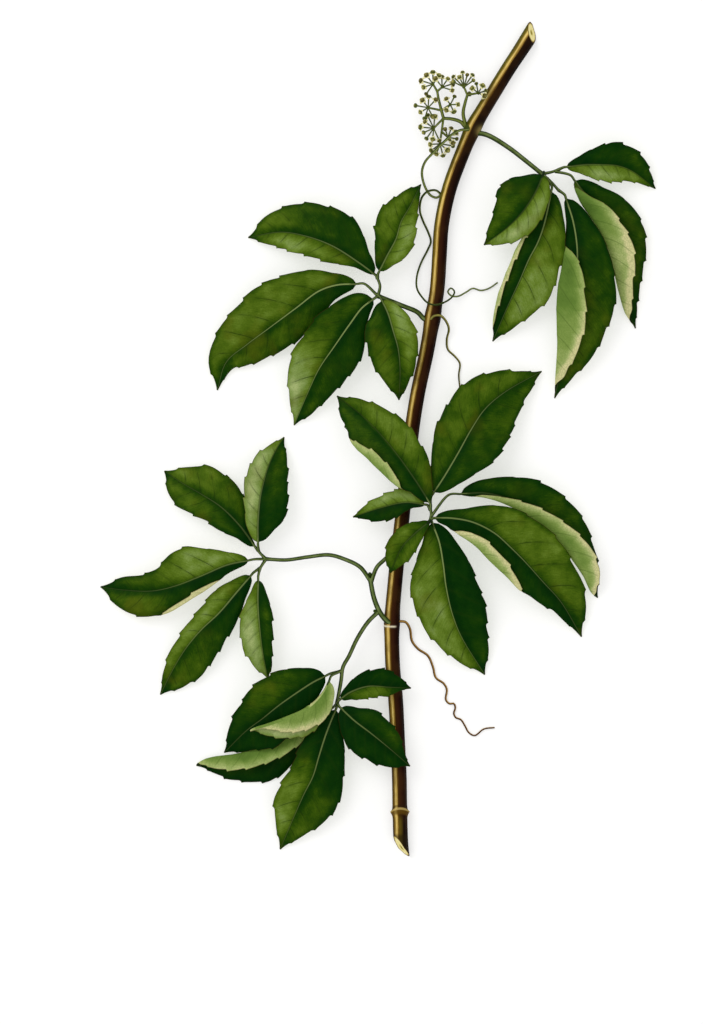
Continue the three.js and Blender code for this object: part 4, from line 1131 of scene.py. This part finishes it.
leaflet("c", 7, [(424, 504.5), (405, 502.5), (380, 508), (353, 517)], [2.5, 5, 6.5, 7, 6.5, 5, 2.5],
        [4, 6.5, 7, 6.5, 5.5, 4.5, 2.5], rise=(17.5, 0, 9), lift=(10, 2), teeth=4,
        tone=((0.15, 0.2, 0.25), (0.75, 0.75, 0.7)), rib_light=0.1)
leaflet("d", 1, [(254.5, 546), (240, 526), (221, 507), (201, 494), (182, 483), (164, 471)],
        [5, 8.5, 10, 10.5, 11.5, 11, 7], [1.5, 6, 11, 13.7, 14.6, 13.5, 8], rise=(7.5, 3, 0.6), lift=(8, 2),
        teeth=4, tone=((0.08, 0.3, 0.42, 0.42), (0.15, 0.33, 0.45, 0.6)), rib_light=0.2)
leaflet("d", 2, [(258, 542), (258, 524), (260, 500), (263, 485), (269, 465), (277, 448), (284, 437)],
        [5.5, 7, 8.5, 9.5, 9, 7, 3.5], [8.5, 13, 14, 13.5, 12, 10, 6], rise=(9.5, 5, 1), lift=(14, 6),
        teeth=5, tone=((0.78, 0.85, 0.78), (0.15, 0.22, 0.35)), rib_light=0.35)
leaflet("d", 3, [(248, 560.5), (227, 565), (201, 576), (175, 586), (152, 591), (123, 590), (100, 587)],
        [4, 6, 8, 10.5, 12.5, 12, 7.5], [6, 12, 16, 16, 11, 8.5, 6], rise=(7.5, 4, 0.6), lift=(8, 10),
        teeth=4, tone=((0.05, 0.12, 0.2, 0.42, 0.4), (0.6, 0.66, 0.5, 0.35, 0.3)), rib_light=0.3,
        under=(0.8, 0.9, 0.9),
        curl=dict(side="left", start=0.16, end=0.64, fold=0.3, flap=[0, 1, 1.5, 1.2, 0.3, 0, 0]))
leaflet("d", 4, [(250.5, 576), (236, 593), (219, 613), (201, 630), (186, 648), (173, 669), (160, 695)],
        [5.5, 9.5, 12, 14, 14.5, 13.5, 9], [6, 9, 9, 7.5, 6.5, 5.5, 3.5], rise=(7, 3, 0.6), lift=(4, 4),
        teeth=5, tone=((0.08, 0.17, 0.35, 0.36), (0.5, 0.62, 0.58)), rib_light=0.5)
leaflet("d", 5, [(258.2, 580.5), (258, 604), (260, 630), (263, 654), (268, 679)],
        [4.5, 6.5, 7, 6.5, 5.5, 4.5, 3], [3.5, 6.5, 9, 10, 10, 8.5, 5], rise=(9, 3, 5), lift=(14, 10),
        teeth=4, tone=((0.25, 0.3, 0.3), (0.7, 0.75, 0.85)), rib_light=0.4)
leaflet("e", 1, [(325, 676), (313, 682), (296, 693), (279, 705), (263, 718), (246, 731), (224, 753)],
        [8, 11.5, 14, 15.5, 15, 12, 7], [8.5, 13, 15.3, 16, 14, 10.5, 5.5], rise=(12, 7, 1), lift=(2, 12),
        teeth=5, tone=((0.0, 0.02, 0.05, 0.1, 0.15), (0.1, 0.27, 0.34, 0.2, 0.12)), rib_light=0.5)
leaflet("e", 2, [(329, 711), (308, 729), (286, 741), (262, 751), (236, 758), (214, 761), (196, 766)],
        [3, 7, 12.5, 15.5, 14, 11, 6.5], [2, 2, 1.5, 1, 1, 1, 0.5], rise=(4.6, 0, 0.6), lift=(2, 2),
        teeth=6, tone=((0.05, 0.1, 0.18), (0.2, 0.2, 0.2)), rib_light=0.3, under=(0.2, 0.3, 0.42),
        curl=dict(side="right", start=0.05, end=0.998, flap=[3, 5.2, 6.8, 7.8, 8, 7.4, 5.4],
        ease=(0.1, 0.03)))
leaflet("e", 3, [(335.5, 710), (326, 734), (319, 756), (313, 776), (304, 794), (296, 812), (280, 850)],
        [8, 12.5, 15, 17.5, 17, 12.5, 6.5], [6.5, 9.5, 11, 12, 13, 12, 6.5], rise=(10.5, 5, 0.6),
        lift=(2, 4), teeth=5, tone=((0.0, 0.04, 0.2, 0.38, 0.45), (0.08, 0.1, 0.45, 0.58, 0.52)),
        rib_light=0.5)
leaflet("e", 4, [(341, 708), (354, 720), (371, 733), (387, 746), (410, 766)], [6, 10, 11, 10, 9, 6, 2.5],
        [6.5, 10.5, 12.5, 13, 11.5, 10, 6], rise=(12, 3, 10), lift=(8, 8), teeth=4,
        tone=((0.08, 0.22, 0.2), (0.05, 0.1, 0.15)), rib_light=0.45)
leaflet("e", 5, [(341, 698.5), (350, 692), (368, 686), (390, 687), (411, 688)], [3.5, 6, 7.5, 8.5, 9, 7, 4],
        [3.5, 5.5, 6, 6, 5, 4, 1.5], rise=(13, 2, 10.5), lift=(12, 10), teeth=4,
        tone=((0.08, 0.1, 0.18), (0.45, 0.55, 0.42)), rib_light=0.3)
leaflet("e", 6, [(329, 681), (325, 690), (317.6, 699.7), (306, 709.7), (287.8, 718), (264.6, 726.5),
        (250.5, 730.4)], [6.5, 9.8, 9.4, 8.6, 6.4, 2.9, 0.4], [0.8, 0.9, 1, 1, 1, 0.9, 0.7],
        rise=(14.2, 5.2, 14.5), lift=(-6, -6), teeth=6, tone=((0.7, 0.75, 0.8), (0.72, 0.78, 0.8)),
        rib_light=0.0, under=(0.3, 0.6, 0.45), curl=dict(side="right", start=0.3, end=0.998,
        flap=[0, 0, 9.5, 12, 10.8, 8.6, 5], turn=-146, ease=(0.1, 0.03)), turned=True)

# Where the stalks of each leaf's leaflets meet, as [across, down, height]
FORK_A = (378, 296, 8.6)
FORK_B = (542, 174, 8.6)
FORK_C = (430, 521, 18.6)
FORK_D = (266, 559, 7)
FORK_E = (337, 703, 11)

# Leaf stalks: runs with their radius and points, then where the short stalks of a leaf's leaflets start,
# then small knobs and the directions they point in
STALKS = {
    "leaf_a_stalk": dict(
        runs=[
            (PETIOLE_RADIUS, (433, 318, 3.6), (425, 319, 4.2), (417.5, 312, 5), (402, 305.5, 6.5), FORK_A),
            (PETIOLULE_RADIUS, FORK_A, (380, 286, 9.3), (377, 277, 9.8)),
        ],
        bears=[("a", (1, 2), (377.5, 279, 9.7)), ("a", (3, 4, 5), FORK_A)],
    ),
    "leaf_b_stalk": dict(
        runs=[
            (PETIOLE_RADIUS, (474, 132, 4), (487, 134.5, 4.5), (508, 147, 6.5), (526, 161, 8), FORK_B),
            (PETIOLULE_RADIUS, FORK_B, (552, 172, 8.8), (560, 169, 9.2)),
            (PETIOLULE_RADIUS, FORK_B, (551, 182, 9), (559, 191, 9.2)),
        ],
        bears=[
            ("b", (1,), (558, 170, 9.1)), ("b", (2,), (555, 171.5, 8.9)), ("b", (3,), (558, 190, 9.1)),
            ("b", (4,), (547, 178, 8.8)), ("b", (5,), FORK_B),
        ],
    ),
    "side_shoot": dict(
        runs=[
            (SHOOT_RADIUS, (392.5, 624, 4.6), (386.5, 620.5, 7), (380, 612.5, 8.4), (374, 598, 9.4),
             (370, 578, 10)),
            (THIN_PETIOLE_RADIUS, (370, 580, 10), (360, 567, 9), (344, 559, 7), (329, 555, 5),
             (308, 557, 4.5), (286, 560, 5.5), FORK_D),
            (THIN_PETIOLE_RADIUS, (371, 582, 10), (377, 567, 11.2), (384, 560, 12.2), (402, 544, 15),
             FORK_C),
            (THIN_PETIOLE_RADIUS, (379, 611, 8.5), (368, 622, 7.6), (357, 639, 7.4), (349, 656, 8),
             (343, 667, 8.8), (341, 681, 10), FORK_E),
            (PETIOLULE_RADIUS, FORK_C, (431, 514, 19), (430, 508, 19.2)),
            (PETIOLULE_RADIUS, FORK_D, (260, 553, 7.4), (257.5, 549, 7.6)),
            (PETIOLULE_RADIUS, FORK_D, (262, 565, 7.2), (259, 570, 7.4)),
        ],
        bears=[
            ("c", (1, 2), (430, 509, 19.1)), ("c", (3,), (431, 516, 19)), ("c", (4, 5, 6), FORK_C),
            ("c", (7,), (430, 510, 19)), ("d", (1, 2), (258.5, 551, 7.5)), ("d", (3,), FORK_D),
            ("d", (4, 5), (260, 568, 7.3)), ("e", (1, 6), (341, 671, 9.2)), ("e", (2, 3, 4, 5), FORK_E),
        ],
        knobs=[((370.3, 574.5, 9.8), (-0.5, 0.8, 0.4)), ((375.6, 611.5, 8.4), (-0.9, 0.5, 0.3))],
    ),
}

TENDRILS = {
    # Its first part dives into the stem, so no blunt end shows.
    "tendril_1": [
        (473.5, 129, 3.6), (469.5, 128.8, 6.3), (466, 129.5, 8.5), (460, 130.5, 10), (453, 134, 10.9),
        (443, 143, 10.8), (432, 154, 9), (425, 162, 7), (422, 172, 4.8), (425, 186, 2.4), (431, 195, 1.4),
        (437, 197, 1.3), (440.5, 194, 2), (436, 190, 3.3), (428, 191, 3.8), (422, 197, 3), (420, 210, 1.4),
        (423, 220, 1), (428, 231, 1), (431, 241, 1), (428, 249, 1), (421, 263, 1.3), (417, 276, 2.4),
        (417, 288, 4.6), (422, 297, 7), (428, 303, 8.7), (436, 305, 9), (445, 302, 8.2), (452, 297, 6.6),
        (454.5, 291.5, 5.6), (451, 288, 4.8), (448, 291.5, 4), (451.5, 295.5, 3.2), (458, 296, 2.2),
        (466, 292, 1.4), (473, 288, 1), (481, 290, 0.8), (489, 288, 0.7), (498, 282, 0.7),
    ],
    "tendril_2": [
        (431, 319, 6.8), (434, 316, 8.4), (440, 315.5, 8), (446, 321, 5.4), (449, 329, 3), (447, 339, 1.4),
        (448, 349, 0.9), (455, 356, 0.8), (460, 363, 0.8), (459, 375, 0.8), (460, 387, 0.8),
    ],
    "tendril_3": [
        (396, 622, 4.4), (402, 621.5, 4.4), (406, 622.5, 3.8), (410, 629, 2.4), (412, 641, 1.2),
        (418, 649, 0.9), (428, 656, 0.8), (433, 667, 0.8), (436, 678, 0.8), (444, 684, 0.8), (447, 690, 0.8),
        (446, 700, 0.8), (449.5, 704, 0.8), (454, 704, 0.8), (455.5, 708, 0.8), (454, 714, 0.8),
        (456, 718, 0.8), (461, 720, 0.8), (465, 726, 0.8), (469, 733, 0.8), (475, 736, 0.8),
        (484, 729.5, 0.8), (495, 728, 0.8),
    ],
}
TENDRIL_LOOKS = {
    "tendril_1": ("tendril_green", "#263208", "#55632a", "#a0a662"),
    "tendril_2": ("tendril_tan", "#38370c", "#6c682a", "#aca05a"),
    "tendril_3": ("tendril_brown", "#442909", "#835f25", "#c4a05c"),
}

# Where the flower cluster's stalks fork
HIGH_FORK = (467.4, 95.1, 9)
LEFT_FORK = (437.2, 91.6, 9.8)
MIDDLE_FORK = (441.4, 110.5, 8.4)
LOW_FORK = (443.5, 118.2, 7.6)

# The flower cluster's branches: first and last radius, and points
BRANCHES = [
    ((1.1, 0.8), [(473, 130, 4.4), (466, 127, 5), (461, 121.8, 6), (452.6, 119, 7), LOW_FORK]),
    ((1, 0.7), [(466, 126, 5.2), (463.2, 113.3, 7), (465.3, 102.1, 8.4), HIGH_FORK]),
    ((0.8, 0.6), [LOW_FORK, MIDDLE_FORK, (438.6, 99.3, 9.4), LEFT_FORK]),
]
CLUSTER_KNOB = ((467.9, 128.4, 5.6), (-0.8, 0.5, 0.5))
# Its umbels: their stalk's start and end, the rays' direction and spread in degrees, number and reach
UMBELS = [
    (HIGH_FORK, (463.9, 87.4, 9.6), 95, 120, 7, 7.2),
    (HIGH_FORK, (478.2, 93.2, 9), 80, 210, 6, 4.6),
    (LEFT_FORK, (433, 84.5, 10), 145, 180, 6, 6.2),
    (LEFT_FORK, (442.1, 87.4, 10.6), 55, 150, 5, 6),
    (MIDDLE_FORK, (428.1, 107.7, 8.2), 170, 250, 7, 6),
    (MIDDLE_FORK, (450.2, 104.9, 10), 0, 250, 5, 4.6),
    (LOW_FORK, (433.7, 128.1, 6.6), 190, 210, 8, 6.8),
    (LOW_FORK, (440, 143.5, 4.6), 285, 200, 7, 6.2),
    ((441, 131, 6.6), (448, 137, 5.6), 30, 160, 5, 5),
]


def claim(piece, node):
    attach(piece, "root")
    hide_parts(node)


def titled(node):
    return node[0].upper() + node[1:]


blade_looks = [upper_look(), under_look()]
spines = {}
for number, (node, leaf) in enumerate(LEAFLETS.items()):
    piece = Piece()
    spines[node] = add_blade(piece, leaf, FIRST_SEED + number)
    claim(piece.make(titled(node), blade_looks, BLADE_SHARP), node)

claim(make_stem([bark_look(), cut_look()]), "main_stem")

petiole_look = stalk_look("leaf_stalk", "#0d1f02", "#30430c", "#86955a")
for node, stalk in STALKS.items():
    piece = Piece()
    seat = FIRST_SEAT
    for radius, *points in stalk["runs"]:
        add_stalk_run(piece, points, radius, seat)
        seat = NEXT_SEAT
    for letter, numbers, start in stalk["bears"]:
        for number in numbers:
            add_leaflet_stalk(piece, start, spines[f"leaf_{letter}_leaflet_{number}"])
    for knob, aim in stalk.get("knobs", []):
        add_ball(piece, spot(knob), aim, radius=0.85, lobes=2, stretch=1.8, rings=10, sides=12)
    claim(piece.make(titled(node), [petiole_look], STALK_SHARP), node)

for node, points in TENDRILS.items():
    piece = Piece()
    add_tube(piece, Path(on_sheet(points)), taper(*TENDRIL_RADIUS), *TENDRIL_TUBE)
    claim(piece.make(titled(node), [stalk_look(*TENDRIL_LOOKS[node])], STALK_SHARP), node)

cluster_looks = [stalk_look("flower_stalk", "#232f06", "#4c5a18", "#949a52"), bud_look(), petal_look()]
claim(make_cluster(cluster_looks), "flower_cluster")

# Ground, light and camera, in metres
GROUND_SIZE = 6
GROUND_LEVEL = -0.00004
SKY_COLOUR = (1.0, 0.99, 0.975, 1.0)
SKY_STRENGTH = 0.93
WINDOW_AT = (-1.3, 1.2, 2.0)
WINDOW_AIM = (0, -0.03, 0)
WINDOW_SIZE = 1.8
WINDOW_POWER = 20
CAMERA_AT = (-0.01335, -0.035, 3.5636)
CAMERA_LENS = 250
CAMERA_SENSOR = 36
CAMERA_END = 20

bpy.ops.mesh.primitive_plane_add(size=GROUND_SIZE, location=(0, 0, GROUND_LEVEL))
ground = bpy.context.object
ground.name = "Ground"
ground.data.materials.append(floor_look())

scene = bpy.context.scene
scene.world = bpy.data.worlds.new("soft_sky")
scene.world.use_nodes = True
sky = scene.world.node_tree.nodes["Background"]
sky.inputs["Color"].default_value = SKY_COLOUR
sky.inputs["Strength"].default_value = SKY_STRENGTH

window = new_object("Window", bpy.data.lights.new("Window", "AREA"))
window.data.shape = "DISK"
window.data.size = WINDOW_SIZE
window.data.energy = WINDOW_POWER
window.location = WINDOW_AT
window.rotation_euler = (Vector(WINDOW_AIM) - Vector(WINDOW_AT)).to_track_quat("-Z", "Y").to_euler()

camera = new_object("Camera", bpy.data.cameras.new("Camera"))
camera.data.lens = CAMERA_LENS
camera.data.sensor_width = CAMERA_SENSOR
camera.data.clip_end = CAMERA_END
camera.location = CAMERA_AT
camera.rotation_euler = (0, 0, 0)
scene.camera = camera
scene.view_settings.view_transform = "Standard"
